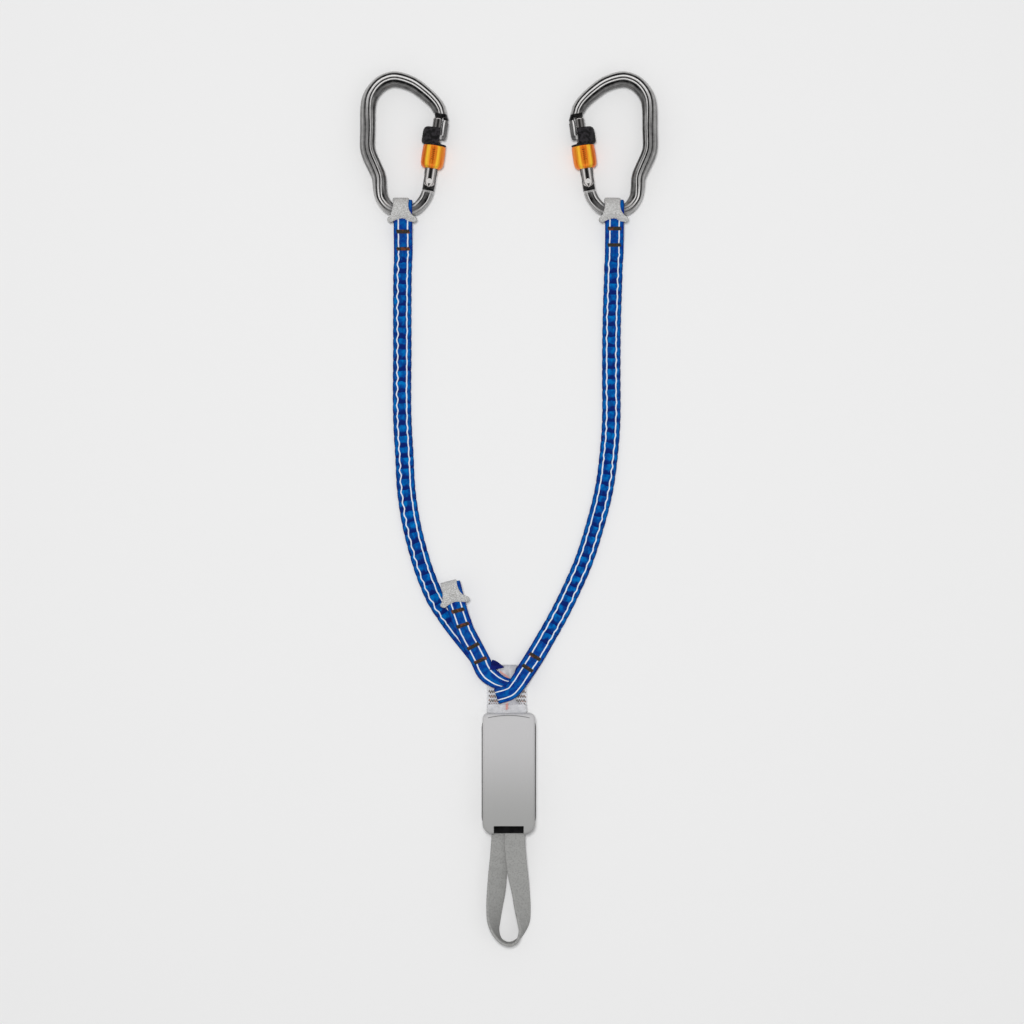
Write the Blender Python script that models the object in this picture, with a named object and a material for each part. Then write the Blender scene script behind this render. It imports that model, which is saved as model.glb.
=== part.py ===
"""Via ferrata lanyard, lying flat on its back.

Two auto-locking carabiners hang in sewn webbing eyes, two gathered elastic
arms and a short rest arm run to a junction, and the junction is linked to a
tear-webbing energy absorber in a pouch, which ends in a tie-in loop.

Metres. +X to the right, +Y up the lanyard, +Z up from the surface it lies on.
The origin is on that surface, under the middle of the lanyard.
"""

import math

import bmesh
import bpy
from mathutils import Matrix, Vector

# Layout
EYE_SPREAD = 0.0867
EYE_RISE = 0.2431
JUNCTION_SHIFT = -0.0031
JUNCTION_DROP = 0.1529
CLEARANCE = 0.0003
OVERRUN = 0.002

# Carabiner frame: a forged bar along a smooth centreline
FRAME_RISE = 0.109
FRAME_REACH = 0.061
BAR_DEPTH = 0.0124
BAR_WIDTH = 0.0104
TONGUE_THICKNESS = 0.0037
TONGUE_RADIUS = 0.005
TONGUE_LENGTH = 0.0062
NOSE_WIDTH = 0.0072
NOSE_DEPTH = 0.0052
NOSE_OFFSET = 0.0034
NOSE_REACH = 0.0178
NECK_LENGTH = 0.0033
NECK_RECESS = 0.0006
NECK_SHARE = 0.84
NOSE_SLANT = math.radians(19)
NOSE_INSET_SHARE = 0.75
NOSE_ROOT_SHARE = 0.6
LIP_LENGTH = 0.0036
LIP_DEPTH = 0.0018

# Gate and its rivet, plunger and spring
GATE_DIAMETER = 0.0105
GATE_TIP_DIAMETER = 0.0084
GATE_CHAMFER = 0.0006
FLANGE_DIAMETER = 0.014
FLANGE_LENGTH = 0.002
SLOT_DEPTH = 0.0057
GATE_BORE = 0.0052
GATE_BORE_DEPTH = 0.0225
RIVET_DIAMETER = 0.004
RIVET_PROUD = 0.0004
PLUNGER_LENGTH = 0.0055
GATE_SPRING_WIRE = 0.0006
GATE_SPRING_CURLS = 5

# Locking sleeve, its collar and its spring
SLEEVE_DIAMETER = 0.0191
SLEEVE_LENGTH = 0.0187
SLEEVE_LIP = 0.0025
SLEEVE_WALL = 0.0021
COLLAR_SETBACK = 0.0084
COLLAR_LENGTH = 0.0134
COLLAR_RING = 0.0014
COLLAR_RING_DIAMETER = 0.0186
COLLAR_BULGE = 0.0114
COLLAR_WIDTH = 0.0174
LOCK_SPRING_WIRE = 0.0009
LOCK_SPRING_CURLS = 4

# Webbing, and the eyes that hold the carabiners
WEBBING_WIDTH = 0.0153
WEBBING_THICKNESS = 0.0016
LAYER_GAP = 0.0004
EYE_HALF_GAP = 0.0064
EYE_TOP = 0.0085
EYE_CLOSE = 0.0135
STEM_LENGTH = 0.0335
ARM_THICKNESS = 0.0047
ARM_PITCH = 0.0088
ARM_VALLEY_SHARE = 0.64
ARM_PINCH_SHARE = 0.94

# Rubber keepers
KEEPER_WALL = 0.0015
KEEPER_NECK = 0.0128
KEEPER_FLARE = 0.0236
KEEPER_SKIRT = 0.0085
KEEPER_COLLAR = 0.0042
KEEPER_SHIFT = -0.0014

# Rest arm: a short third eye sewn over the end of the left arm
REST_EYE_X = -0.0450
REST_EYE_Y = -0.0704
REST_LEAN = math.radians(14.4)
REST_HALF_GAP = 0.0032

# Absorber
POUCH_WIDTH = 0.0441
POUCH_LENGTH = 0.0984
POUCH_THICKNESS = 0.024
POUCH_TOP = 0.1677
POUCH_WALL = 0.0015
POUCH_TOP_CORNER = 0.005
POUCH_FOOT_CORNER = 0.0085
POUCH_CROWN = 0.0035
POUCH_EDGE = 0.0032
PIPING_THICKNESS = 0.0009
PIPING_DEPTH = 0.0022
TOP_LOOP_THICKNESS = 0.0012
TOP_LOOP_WIDTH = 0.022
TOP_LOOP_TAIL = 0.0085
SHEATH_WIDTH = 0.0333
SHEATH_WALL = 0.0006
SHEATH_LENGTH = 0.0064
PACK_WIDTH = 0.031
PACK_FOLDS = 8
PACK_SHEET = 0.0018
TAB_WIDTH = 0.0241
TAB_LENGTH = 0.0068
TAB_THICKNESS = 0.0012
TIE_WIDTH = 0.017
TIE_THICKNESS = 0.0022
TIE_TAIL = 0.0105

# The bar's centreline, from the nose over the crown and down the spine to the
# gate's hinge: x of FRAME_REACH and y of FRAME_RISE from the eye, depth of
# BAR_DEPTH, width of BAR_WIDTH, and how much of the section is a ribbed beam
# or an open pocket.
BAR_SHARES = (
    (0.487, 0.772, 0.87, 1.00, 1.0, 0.0),
    (0.430, 0.823, 0.88, 1.00, 1.0, 0.0),
    (0.302, 0.892, 0.93, 1.00, 1.0, 0.0),
    (0.121, 0.964, 0.99, 1.00, 1.0, 0.0),
    (-0.090, 1.000, 1.03, 1.00, 1.0, 0.0),
    (-0.236, 0.985, 1.03, 1.00, 1.0, 0.0),
    (-0.349, 0.940, 1.02, 1.00, 1.0, 0.0),
    (-0.438, 0.869, 1.01, 1.00, 1.0, 0.0),
    (-0.472, 0.783, 1.00, 1.00, 1.0, 0.0),
    (-0.476, 0.632, 0.99, 1.00, 1.0, 0.0),
    (-0.480, 0.496, 0.98, 1.00, 1.0, 0.0),
    (-0.451, 0.425, 0.98, 1.00, 1.0, 0.0),
    (-0.384, 0.342, 0.97, 1.00, 1.0, 0.0),
    (-0.325, 0.263, 0.94, 1.00, 1.0, 0.0),
    (-0.310, 0.173, 0.91, 1.00, 1.0, 0.0),
    (-0.277, 0.098, 0.85, 0.97, 0.9, 0.0),
    (-0.175, 0.027, 0.79, 0.93, 0.3, 0.0),
    (0.000, 0.000, 0.77, 0.91, 0.0, 0.0),
    (0.167, 0.023, 0.77, 0.93, 0.0, 0.3),
    (0.277, 0.086, 0.79, 0.98, 0.0, 1.0),
    (0.330, 0.145, 0.81, 1.00, 0.0, 0.6),
)
RIVET_SHARES = (0.356, 0.231)
NOSE_AIM_SHARES = (0.482, 0.709)

# Half sections of the bar, outer edge to inner edge: depth and width
BEAM_SHARES = (
    (-1.00, 0.00), (-0.90, 0.60), (-0.60, 0.97), (-0.27, 1.00),
    (-0.17, 0.70), (0.00, 0.70), (0.08, 0.92), (0.24, 0.90),
    (0.34, 0.64), (0.54, 0.86), (0.88, 0.58), (1.00, 0.00),
)
ROUND_SHARES = (
    (-1.00, 0.00), (-0.93, 0.46), (-0.70, 0.82), (-0.42, 0.96),
    (-0.22, 1.00), (-0.06, 1.00), (0.10, 1.00), (0.26, 1.00),
    (0.46, 0.95), (0.72, 0.80), (0.93, 0.46), (1.00, 0.00),
)
POCKET_SHARES = (
    (-1.00, 0.00), (-0.94, 0.60), (-0.74, 0.95), (-0.54, 0.97),
    (-0.44, 0.64), (-0.14, 0.62), (0.10, 0.62), (0.34, 0.64),
    (0.46, 0.95), (0.70, 0.92), (0.93, 0.56), (1.00, 0.00),
)
PLATE_SHARES = (
    (-1.00, 0.00), (-1.00, 0.55), (-0.96, 0.92), (-0.80, 1.00),
    (-0.50, 1.00), (-0.18, 1.00), (0.18, 1.00), (0.50, 1.00),
    (0.80, 1.00), (0.96, 0.92), (1.00, 0.55), (1.00, 0.00),
)

# Sections of soft pieces, as shares of half width and half thickness
BAND_SHARES = ((-1, -0.5), (-1, 0.5), (-0.94, 1), (0.94, 1), (1, 0.5), (1, -0.5), (0.94, -1), (-0.94, -1))
BLOCK_SHARES = (
    (1, 0.55), (0.86, 1), (-0.86, 1), (-1, 0.55),
    (-1, -0.55), (-0.86, -1), (0.86, -1), (1, -0.55),
)
OVAL_SHARES = ((-1, 0), (-0.82, 0.72), (0, 1), (0.82, 0.72), (1, 0), (0.82, -0.72), (0, -1), (-0.82, -0.72))

# Keeper: height as a share of its skirt, how far it has flared, and how far it
# has shifted sideways
KEEPER_SHARES = (
    (1.00, 0.52, 0.35), (0.74, 1.00, 0.35), (0.50, 0.84, 0.40),
    (0.28, 0.62, 0.50), (-0.05, 0.40, 0.65), (-0.40, 0.16, 0.85),
)

# Arm routes down to the junction straps: share of the way from the eye's x and y
# to the junction's
LEFT_ARM_SHARES = (
    (-0.005, 0.083), (-0.010, 0.182), (-0.010, 0.286), (-0.013, 0.389), (-0.005, 0.451), (0.010, 0.501),
    (0.029, 0.576), (0.083, 0.650), (0.176, 0.725), (0.260, 0.774), (0.333, 0.807),
)
RIGHT_ARM_SHARES = (
    (0.009, 0.079), (0.009, 0.128), (0.023, 0.228), (0.027, 0.327), (0.027, 0.427), (0.050, 0.501),
    (0.095, 0.576), (0.177, 0.650), (0.282, 0.725), (0.427, 0.799), (0.541, 0.849),
)

# Strap routes at the junction: x and y from it in webbing widths, height in
# layers, and width as a share
RIGHT_FRONT_SHARES = (
    (2.090, 2.860, 1.20, 1.00),
    (1.620, 2.060, 2.70, 1.00),
    (1.179, 1.370, 4.30, 1.00),
    (0.723, 0.750, 5.40, 0.98),
    (0.241, 0.270, 5.40, 0.92),
    (-0.190, 0.020, 5.40, 0.80),
)
RIGHT_REAR_SHARES = (
    (-0.190, 0.020, 1.60, 0.80),
    (0.241, 0.270, 1.60, 0.92),
    (0.723, 0.750, 1.60, 0.98),
    (1.179, 1.370, 1.40, 1.00),
    (1.620, 2.060, 0.95, 1.00),
    (1.800, 2.360, 0.75, 1.00),
)
LEFT_UNDER_SHARES = (
    (-2.962, 3.972, 1.15, 1.00),
    (-2.620, 3.520, 1.10, 1.00),
    (-2.250, 3.050, 1.10, 1.00),
    (-1.366, 1.929, 1.10, 1.00),
    (-1.018, 1.233, 1.50, 0.96),
    (-0.580, 0.850, 2.50, 0.80),
    (-0.150, 0.640, 2.60, 0.64),
    (0.230, 0.560, 2.60, 0.60),
    (0.520, 0.580, 2.60, 0.58),
)
LEFT_OVER_SHARES = (
    (0.520, 0.580, 4.40, 0.58),
    (0.230, 0.560, 4.40, 0.60),
    (-0.150, 0.640, 4.40, 0.64),
    (-0.580, 0.850, 4.40, 0.80),
    (-1.018, 1.233, 3.30, 0.96),
    (-1.366, 1.929, 2.30, 1.00),
    (-1.760, 2.700, 2.80, 1.00),
    (-2.150, 3.450, 4.20, 1.00),
    (-2.400, 4.150, 5.20, 1.00),
)
REST_STUB_SHARES = (
    (-2.400, 4.150, 4.20, 1.00),
    (-2.150, 3.450, 3.20, 1.00),
)
LAYER_PITCH = 0.002

# Top loop: x and y from the junction in webbing widths, height in layers, and
# width as a share of its own, from the front layer's foot over the top and down
# the rear layer
TOP_LOOP_SHARES = (
    (0.107, -1.40, 4.90, 1.30), (0.107, -0.95, 4.20, 1.30), (0.200, -0.62, 3.70, 0.90),
    (0.300, -0.30, 3.50, 0.40), (0.220, 0.12, 3.50, 0.38), (0.170, 0.60, 3.50, 0.40),
    (0.140, 0.95, 3.50, 0.46), (0.090, 1.38, 3.50, 0.68), (0.120, 1.53, 3.00, 0.74),
    (0.130, 1.57, 2.10, 0.75), (0.110, 1.53, 1.20, 0.72), (0.090, 1.38, 0.70, 0.68),
    (0.120, 0.90, 0.70, 0.80), (0.107, 0.40, 0.70, 1.30), (0.107, -0.10, 0.70, 1.34),
    (0.107, -0.50, 1.10, 1.34), (0.107, -0.95, 3.20, 1.30), (0.107, -1.40, 4.10, 1.30),
)

# Tie-in loop: x in its widths, y of the way from the pouch to its lowest
# point, height in its widths, and its turn in degrees from flat to edge-on
TIE_LEFT_SHARES = (
    (-0.325, 0.00, 0.60, 0), (-0.360, 0.10, 0.60, 3), (-0.450, 0.22, 0.59, 8),
    (-0.540, 0.36, 0.57, 15), (-0.620, 0.52, 0.55, 28), (-0.700, 0.67, 0.53, 42),
    (-0.720, 0.79, 0.52, 55), (-0.660, 0.88, 0.52, 72), (-0.470, 0.953, 0.52, 84),
    (-0.220, 0.990, 0.52, 89),
)
TIE_RIGHT_SHARES = (
    (0.280, 0.985, 0.52, 89), (0.500, 0.945, 0.52, 84), (0.680, 0.87, 0.52, 72),
    (0.715, 0.79, 0.53, 56), (0.640, 0.67, 0.58, 38), (0.510, 0.52, 0.65, 20),
    (0.420, 0.36, 0.71, 12), (0.340, 0.22, 0.75, 6), (0.290, 0.10, 0.78, 2),
    (0.288, 0.00, 0.78, 0),
)

# Finishes: colour, metallic, roughness
FINISHES = {
    "forged_body": ((0.16, 0.16, 0.17), 1.0, 0.34),
    "polished_gate": ((0.42, 0.42, 0.43), 1.0, 0.22),
    "stainless": ((0.62, 0.61, 0.59), 1.0, 0.28),
    "orange_sleeve": ((0.95, 0.38, 0.02), 0.7, 0.3),
    "black_collar": ((0.015, 0.015, 0.017), 0.0, 0.45),
    "spring_steel": ((0.5, 0.5, 0.5), 1.0, 0.3),
    "keeper_rubber": ((0.60, 0.59, 0.58), 0.0, 0.6),
    "blue_webbing": ((0.01, 0.10, 0.45), 0.0, 0.8),
    "white_webbing": ((0.80, 0.77, 0.78), 0.0, 0.85),
    "clear_sheath": ((0.82, 0.82, 0.83), 0.0, 0.25),
    "pouch_shell": ((0.55, 0.55, 0.55), 0.0, 0.5),
    "dark_piping": ((0.08, 0.08, 0.08), 0.0, 0.6),
    "black_tab": ((0.01, 0.01, 0.01), 0.0, 0.6),
    "grey_webbing": ((0.36, 0.36, 0.35), 0.0, 0.85),
}

PLANE = SLEEVE_DIAMETER / 2 + CLEARANCE
FRAME_TOP = FRAME_RISE + BAR_DEPTH * BAR_SHARES[4][2] / 2
LANYARD_HALF = EYE_RISE + FRAME_TOP
GATE_RADIUS = GATE_DIAMETER / 2
RIVET = Vector((RIVET_SHARES[0] * FRAME_REACH, RIVET_SHARES[1] * FRAME_RISE))
NOSE_AIM = Vector((NOSE_AIM_SHARES[0] * FRAME_REACH, NOSE_AIM_SHARES[1] * FRAME_RISE))
GATE_LENGTH = (NOSE_AIM - RIVET).length
GATE_LEAN = math.atan2(NOSE_AIM.x - RIVET.x, NOSE_AIM.y - RIVET.y)
COLLAR_TOP = GATE_LENGTH - COLLAR_SETBACK
COLLAR_FOOT = COLLAR_TOP - COLLAR_LENGTH
SLEEVE_TOP = COLLAR_FOOT - COLLAR_RING - CLEARANCE
SLEEVE_FOOT = SLEEVE_TOP - SLEEVE_LENGTH
FLANGE_FOOT = SLEEVE_FOOT + SLEEVE_LIP + CLEARANCE
POUCH_FOOT = POUCH_TOP + POUCH_LENGTH
POUCH_MIDDLE = POUCH_THICKNESS / 2


def material(name):
    """The Principled material of one finish, made once."""
    found = bpy.data.materials.get(name)
    if found:
        return found
    colour, metallic, roughness = FINISHES[name]
    made = bpy.data.materials.new(name)
    made.use_nodes = True
    shader = made.node_tree.nodes["Principled BSDF"]
    shader.inputs["Base Color"].default_value = (*colour, 1)
    shader.inputs["Metallic"].default_value = metallic
    shader.inputs["Roughness"].default_value = roughness
    made.diffuse_color = (*colour, 1)
    return made


def pivot(name, location, turn=0.0, parent=None):
    """An empty on a joint's axis, which carries the pieces that move about it."""
    empty = bpy.data.objects.new(name, None)
    bpy.context.scene.collection.objects.link(empty)
    empty.parent = parent
    empty.location = location
    empty.rotation_euler = (0, 0, turn)
    return empty


def place(name, data, finish, parent=None, cutter=False):
    """One named object for one piece, or a hidden cutter."""
    obj = bpy.data.objects.new(name, data)
    bpy.context.scene.collection.objects.link(obj)
    obj.parent = parent
    if cutter:
        obj.hide_render = True
        obj.display_type = "WIRE"
        return obj
    if not data.materials:
        data.materials.append(material(finish))
    return obj


def closed_mesh(name, bm, smooth=True):
    """Finishes a bmesh as a mesh whose faces point out."""
    bmesh.ops.recalc_face_normals(bm, faces=bm.faces)
    if bm.calc_volume(signed=True) < 0:
        bmesh.ops.reverse_faces(bm, faces=bm.faces)
    mesh = bpy.data.meshes.new(name)
    bm.to_mesh(mesh)
    bm.free()
    if smooth:
        mesh.shade_smooth()
        mesh.set_sharp_from_angle(angle=math.radians(35))
    return mesh


def loft(name, rings, ends=True):
    """A skin over rings of as many points each, with both ends capped."""
    bm = bmesh.new()
    made = [[bm.verts.new(point) for point in ring] for ring in rings]
    count = len(made[0])
    for lower, upper in zip(made, made[1:]):
        for i in range(count):
            j = (i + 1) % count
            bm.faces.new((lower[i], lower[j], upper[j], upper[i]))
    if ends:
        bm.faces.new(made[0])
        bm.faces.new(made[-1])
    else:
        for i in range(count):
            j = (i + 1) % count
            bm.faces.new((made[-1][i], made[-1][j], made[0][j], made[0][i]))
    return closed_mesh(name, bm)


def turned(name, profile, segments, flutes=(), flute_depth=0.0):
    """A closed ring or rod turned about local Y. Rows in flutes are grooved."""
    rings = []
    for step in range(segments):
        angle = math.tau * step / segments
        ring = []
        for row, (radius, along) in enumerate(profile):
            cut = flute_depth if row in flutes and step % 2 else 0
            reach = radius - cut
            ring.append(Vector((reach * math.cos(angle), along, reach * math.sin(angle))))
        rings.append(ring)
    return loft(name, rings, ends=False)


def rod(name, profile, segments, axis="Y"):
    """A capped rod along local Y or Z from rows of radius and place."""
    rings = []
    for radius, along in profile:
        ring = []
        for step in range(segments):
            angle = math.tau * step / segments
            side = (radius * math.cos(angle), radius * math.sin(angle))
            place_of = (side[0], along, side[1]) if axis == "Y" else (*side, along)
            ring.append(Vector(place_of))
        rings.append(ring)
    return loft(name, rings)


def extruded(name, outline, low, high, axis="Z"):
    """An outline pushed from low to high along X or Z."""
    def point(a, b, along):
        return Vector((a, b, along)) if axis == "Z" else Vector((along, a, b))

    return loft(name, [[point(a, b, along) for a, b in outline] for along in (low, high)])


def box(name, low, high):
    """A plain block between two corners, as a cutter."""
    outline = ((low[0], low[1]), (high[0], low[1]), (high[0], high[1]), (low[0], high[1]))
    return extruded(name, outline, low[2], high[2])


def carve(obj, data, operation="DIFFERENCE"):
    """Adds a live Boolean with a hidden cutter beside the object."""
    cutter = place(data.name, data, None, obj.parent, cutter=True)
    change = obj.modifiers.new(data.name, "BOOLEAN")
    change.operation = operation
    change.object = cutter
    change.solver = "EXACT"


def arc(centre, radius, start, end, steps):
    """Points of an arc in a plane, angles in degrees."""
    points = []
    for step in range(steps + 1):
        angle = math.radians(start + (end - start) * step / steps)
        points.append((centre[0] + radius * math.cos(angle), centre[1] + radius * math.sin(angle)))
    return points


def smooth_rows(rows, steps):
    """A Catmull-Rom curve through rows of numbers, steps to each span."""
    rows = [tuple(float(value) for value in row) for row in rows]
    padded = [rows[0]] + rows + [rows[-1]]
    found = []
    for i in range(1, len(padded) - 2):
        a, b, c, d = padded[i - 1:i + 3]
        for step in range(steps):
            t = step / steps
            found.append(tuple(
                0.5 * (2 * q + (r - p) * t + (2 * p - 5 * q + 4 * r - s) * t * t
                       + (3 * q - p - 3 * r + s) * t ** 3)
                for p, q, r, s in zip(a, b, c, d)
            ))
    found.append(rows[-1])
    return found


def even_points(points, pitch):
    """Points a pitch apart along a run of points, ends kept."""
    total = sum((b - a).length for a, b in zip(points, points[1:]))
    count = max(2, round(total / pitch))
    gap = total / count
    found, walked, wanted = [points[0]], 0.0, gap
    for a, b in zip(points, points[1:]):
        length = (b - a).length
        while length and walked + length >= wanted and len(found) < count:
            found.append(a.lerp(b, (wanted - walked) / length))
            wanted += gap
        walked += length
    found.append(points[-1])
    return found


def side_vectors(points):
    """Level unit vectors across a strap at each of its points."""
    found = []
    for i in range(len(points)):
        before = points[max(i - 1, 0)]
        after = points[min(i + 1, len(points) - 1)]
        run = after - before
        side = Vector((-run.y, run.x, 0)).normalized()
        if found and side.dot(found[-1]) < 0:
            side.negate()
        found.append(side)
    return found


def strap(name, points, sides, widths, thickness, section=BAND_SHARES):
    """A strap along its points. Each point has a vector across and a width."""
    rings = []
    for i, (centre, side, width) in enumerate(zip(points, sides, widths)):
        before = points[max(i - 1, 0)]
        after = points[min(i + 1, len(points) - 1)]
        ahead = (after - centre).normalized() if i + 1 < len(points) else Vector()
        behind = (centre - before).normalized() if i else Vector()
        face = side.cross(ahead + behind).normalized()
        rings.append([
            centre + side * (width / 2 * a) + face * (thickness / 2 * b) for a, b in section
        ])
    return loft(name, rings)


def helix(radius, start, end, curls, points_each=8):
    """Points of a spring along local Y."""
    count = curls * points_each
    return [
        Vector((
            radius * math.cos(math.tau * i / points_each),
            start + (end - start) * i / count,
            radius * math.sin(math.tau * i / points_each),
        ))
        for i in range(count + 1)
    ]


def wire(name, points, radius):
    """A round wire as a curve with a bevel and filled caps."""
    curve = bpy.data.curves.new(name, "CURVE")
    curve.dimensions = "3D"
    curve.bevel_depth = radius
    curve.bevel_resolution = 1
    curve.use_fill_caps = True
    spline = curve.splines.new("POLY")
    spline.points.add(len(points) - 1)
    for target, point in zip(spline.points, points):
        target.co = (*point, 1)
    gap = min(
        (points[i] - points[j]).length
        for i in range(len(points))
        for j in range(i + 5, len(points))
    ) - 2 * radius
    print(f"{name}: least gap between turns {gap * 1000:.2f} mm")
    return curve


def gate_point(across, along):
    """A place in the frame's plane from one beside and along the gate."""
    lean = Vector((math.sin(GATE_LEAN), math.cos(GATE_LEAN)))
    side = Vector((math.cos(GATE_LEAN), -math.sin(GATE_LEAN)))
    return RIVET + side * across + lean * along


def full_section(half):
    """The whole section from its half: front points, then back points."""
    back = [(depth, -width) for depth, width in half[-2:0:-1]]
    return list(half) + back


def bar_ring(outer, inner, width, half_section):
    """One ring of the frame between an outer and an inner point."""
    middle = (outer + inner) / 2
    reach = (inner - outer) / 2
    return [
        Vector((*(middle + reach * depth), width / 2 * rise))
        for depth, rise in full_section(half_section)
    ]


def mixed_section(beam, pocket):
    """A half section part way between round bar, ribbed beam and pocket."""
    rows = []
    for plain, ribbed, open_ in zip(ROUND_SHARES, BEAM_SHARES, POCKET_SHARES):
        rows.append(tuple(
            p * (1 - beam - pocket) + r * beam + o * pocket
            for p, r, o in zip(plain, ribbed, open_)
        ))
    return rows


def nose_rings():
    """The keylock nose, from its lip up to the end face of the bar."""
    inner, outer = NOSE_OFFSET, NOSE_OFFSET + NOSE_DEPTH
    foot = GATE_LENGTH - NOSE_REACH
    lip_top = foot + LIP_LENGTH
    ease = LIP_DEPTH / 3
    crown = GATE_LENGTH - CLEARANCE
    slope = math.tan(NOSE_SLANT)
    face_inner = -NOSE_INSET_SHARE * GATE_RADIUS
    face = [
        (GATE_LENGTH + slope * (NOSE_OFFSET * 2 - across) - ease, across)
        for across in (face_inner, outer - ease)
    ]
    rows = (
        (inner - LIP_DEPTH + ease, outer - 2 * ease, foot, foot, 0.85),
        (inner - LIP_DEPTH, outer - ease, foot + ease, foot + ease, 1.0),
        (inner - LIP_DEPTH, outer, lip_top - CLEARANCE, lip_top - CLEARANCE, 1.0),
        (inner, outer, lip_top, lip_top, 1.0),
        (inner, outer, crown - NECK_LENGTH * 0.6, crown - NECK_LENGTH * 1.1, 1.0),
        (inner + NECK_RECESS, outer - NECK_RECESS, crown - NECK_LENGTH * 0.55, crown - NECK_LENGTH, NECK_SHARE),
    )
    rings = [
        bar_ring(gate_point(b, high), gate_point(a, low), NOSE_WIDTH * share, ROUND_SHARES)
        for a, b, low, high, share in rows
    ]

    def on_face(across):
        (low_s, low_a), (high_s, high_a) = face
        return gate_point(across, low_s + (high_s - low_s) * (across - low_a) / (high_a - low_a))

    neck_inner, neck_outer = inner + NECK_RECESS, outer - NECK_RECESS
    neck_width = NOSE_WIDTH * NECK_SHARE
    rings.append(bar_ring(on_face(neck_outer), on_face(neck_inner), neck_width, ROUND_SHARES))
    root = mixed_section(NOSE_ROOT_SHARE, 0)
    rings.append(bar_ring(on_face(outer - ease), on_face(face_inner), BAR_WIDTH, root))
    return rings


def frame_mesh(name):
    """The forged frame: nose, crown, spine, basket and hinge tongue."""
    rings = nose_rings()
    rows = smooth_rows(BAR_SHARES, 2)
    points = [Vector((row[0] * FRAME_REACH, row[1] * FRAME_RISE)) for row in rows]
    shoulder = gate_point(0, -TONGUE_LENGTH)
    for i, row in enumerate(rows):
        before = points[max(i - 1, 0)]
        after = points[i + 1] if i + 1 < len(points) else shoulder
        run = (after - before).normalized()
        outward = Vector((run.y, -run.x)) * (BAR_DEPTH * row[2] / 2)
        section = mixed_section(row[4], row[5])
        rings.append(bar_ring(points[i] + outward, points[i] - outward, BAR_WIDTH * row[3], section))
    tail = BAR_DEPTH * rows[-1][2] / 2
    foot = -TONGUE_LENGTH
    rings.append(bar_ring(gate_point(tail, foot), gate_point(-tail, foot), BAR_WIDTH, ROUND_SHARES))
    thin = TONGUE_THICKNESS
    half = TONGUE_RADIUS
    rings.append(bar_ring(gate_point(half, foot), gate_point(-half, foot), thin, PLATE_SHARES))
    for turn in (0, 22, 42, 60, 75):
        half = TONGUE_RADIUS * math.cos(math.radians(turn))
        along = TONGUE_RADIUS * math.sin(math.radians(turn))
        rings.append(bar_ring(gate_point(half, along), gate_point(-half, along), thin, PLATE_SHARES))
    return loft(name, rings)


def mirrored(data):
    """A mirror copy of a mesh for the right-hand carabiner."""
    copy = data.copy()
    copy.transform(Matrix.Diagonal((-1, 1, 1, 1)))
    copy.flip_normals()
    return copy


def gate_mesh(name):
    """The gate's rod: a rounded hinge end, the stop flange and a chamfered tip."""
    flange = FLANGE_DIAMETER / 2
    tip = GATE_LENGTH
    tip_radius = GATE_TIP_DIAMETER / 2
    rings = []
    for turn in (72, 50, 25):
        half = GATE_RADIUS * math.cos(math.radians(turn))
        along = -GATE_RADIUS * math.sin(math.radians(turn))
        rings.append([
            Vector((half * math.cos(math.tau * i / 20), along, GATE_RADIUS * math.sin(math.tau * i / 20)))
            for i in range(20)
        ])
    profile = (
        (GATE_RADIUS, 0.0),
        (GATE_RADIUS, FLANGE_FOOT),
        (flange, FLANGE_FOOT),
        (flange, FLANGE_FOOT + FLANGE_LENGTH),
        (GATE_RADIUS, FLANGE_FOOT + FLANGE_LENGTH),
        (GATE_RADIUS, COLLAR_FOOT + GATE_CHAMFER),
        (tip_radius, COLLAR_FOOT + GATE_CHAMFER + GATE_RADIUS - tip_radius),
        (tip_radius, tip - GATE_CHAMFER),
        (tip_radius - GATE_CHAMFER, tip),
    )
    for radius, along in profile:
        rings.append([
            Vector((radius * math.cos(math.tau * i / 20), along, radius * math.sin(math.tau * i / 20)))
            for i in range(20)
        ])
    return loft(name, rings)


def notch_outline():
    """What the nose leaves out of the gate: a flat and an undercut for the lip."""
    foot = GATE_LENGTH - NOSE_REACH - 2.5 * CLEARANCE
    lip_top = GATE_LENGTH - NOSE_REACH + LIP_LENGTH + CLEARANCE
    flat = NOSE_OFFSET - 1.5 * CLEARANCE
    deep = flat - LIP_DEPTH
    out = GATE_RADIUS + OVERRUN
    top = GATE_LENGTH + OVERRUN
    return ((deep, foot), (out, foot), (out, top), (flat, top), (flat, lip_top), (deep, lip_top))


def build_gate(side, holder):
    """The gate with its fork slot, bore, notch and rivet hole."""
    name = f"{side}_gate"
    mesh = gate_mesh(name)
    gate = place(name, mesh, "polished_gate", holder)
    flip = 1 if side == "left" else -1
    outline = [(flip * across, along) for across, along in notch_outline()]
    reach = GATE_RADIUS + OVERRUN
    slot = TONGUE_THICKNESS / 2 + CLEARANCE
    carve(gate, extruded(f"{name}_notch", outline, -reach, reach))
    carve(gate, box(f"{name}_slot", (-reach, -reach, -slot), (reach, SLOT_DEPTH, slot)))
    carve(gate, rod(f"{name}_bore", ((GATE_BORE / 2, 0.0), (GATE_BORE / 2, GATE_BORE_DEPTH)), 16))
    hole = RIVET_DIAMETER / 2 + CLEARANCE
    carve(gate, rod(f"{name}_hole", ((hole, -reach), (hole, reach)), 16, "Z"))


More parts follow.
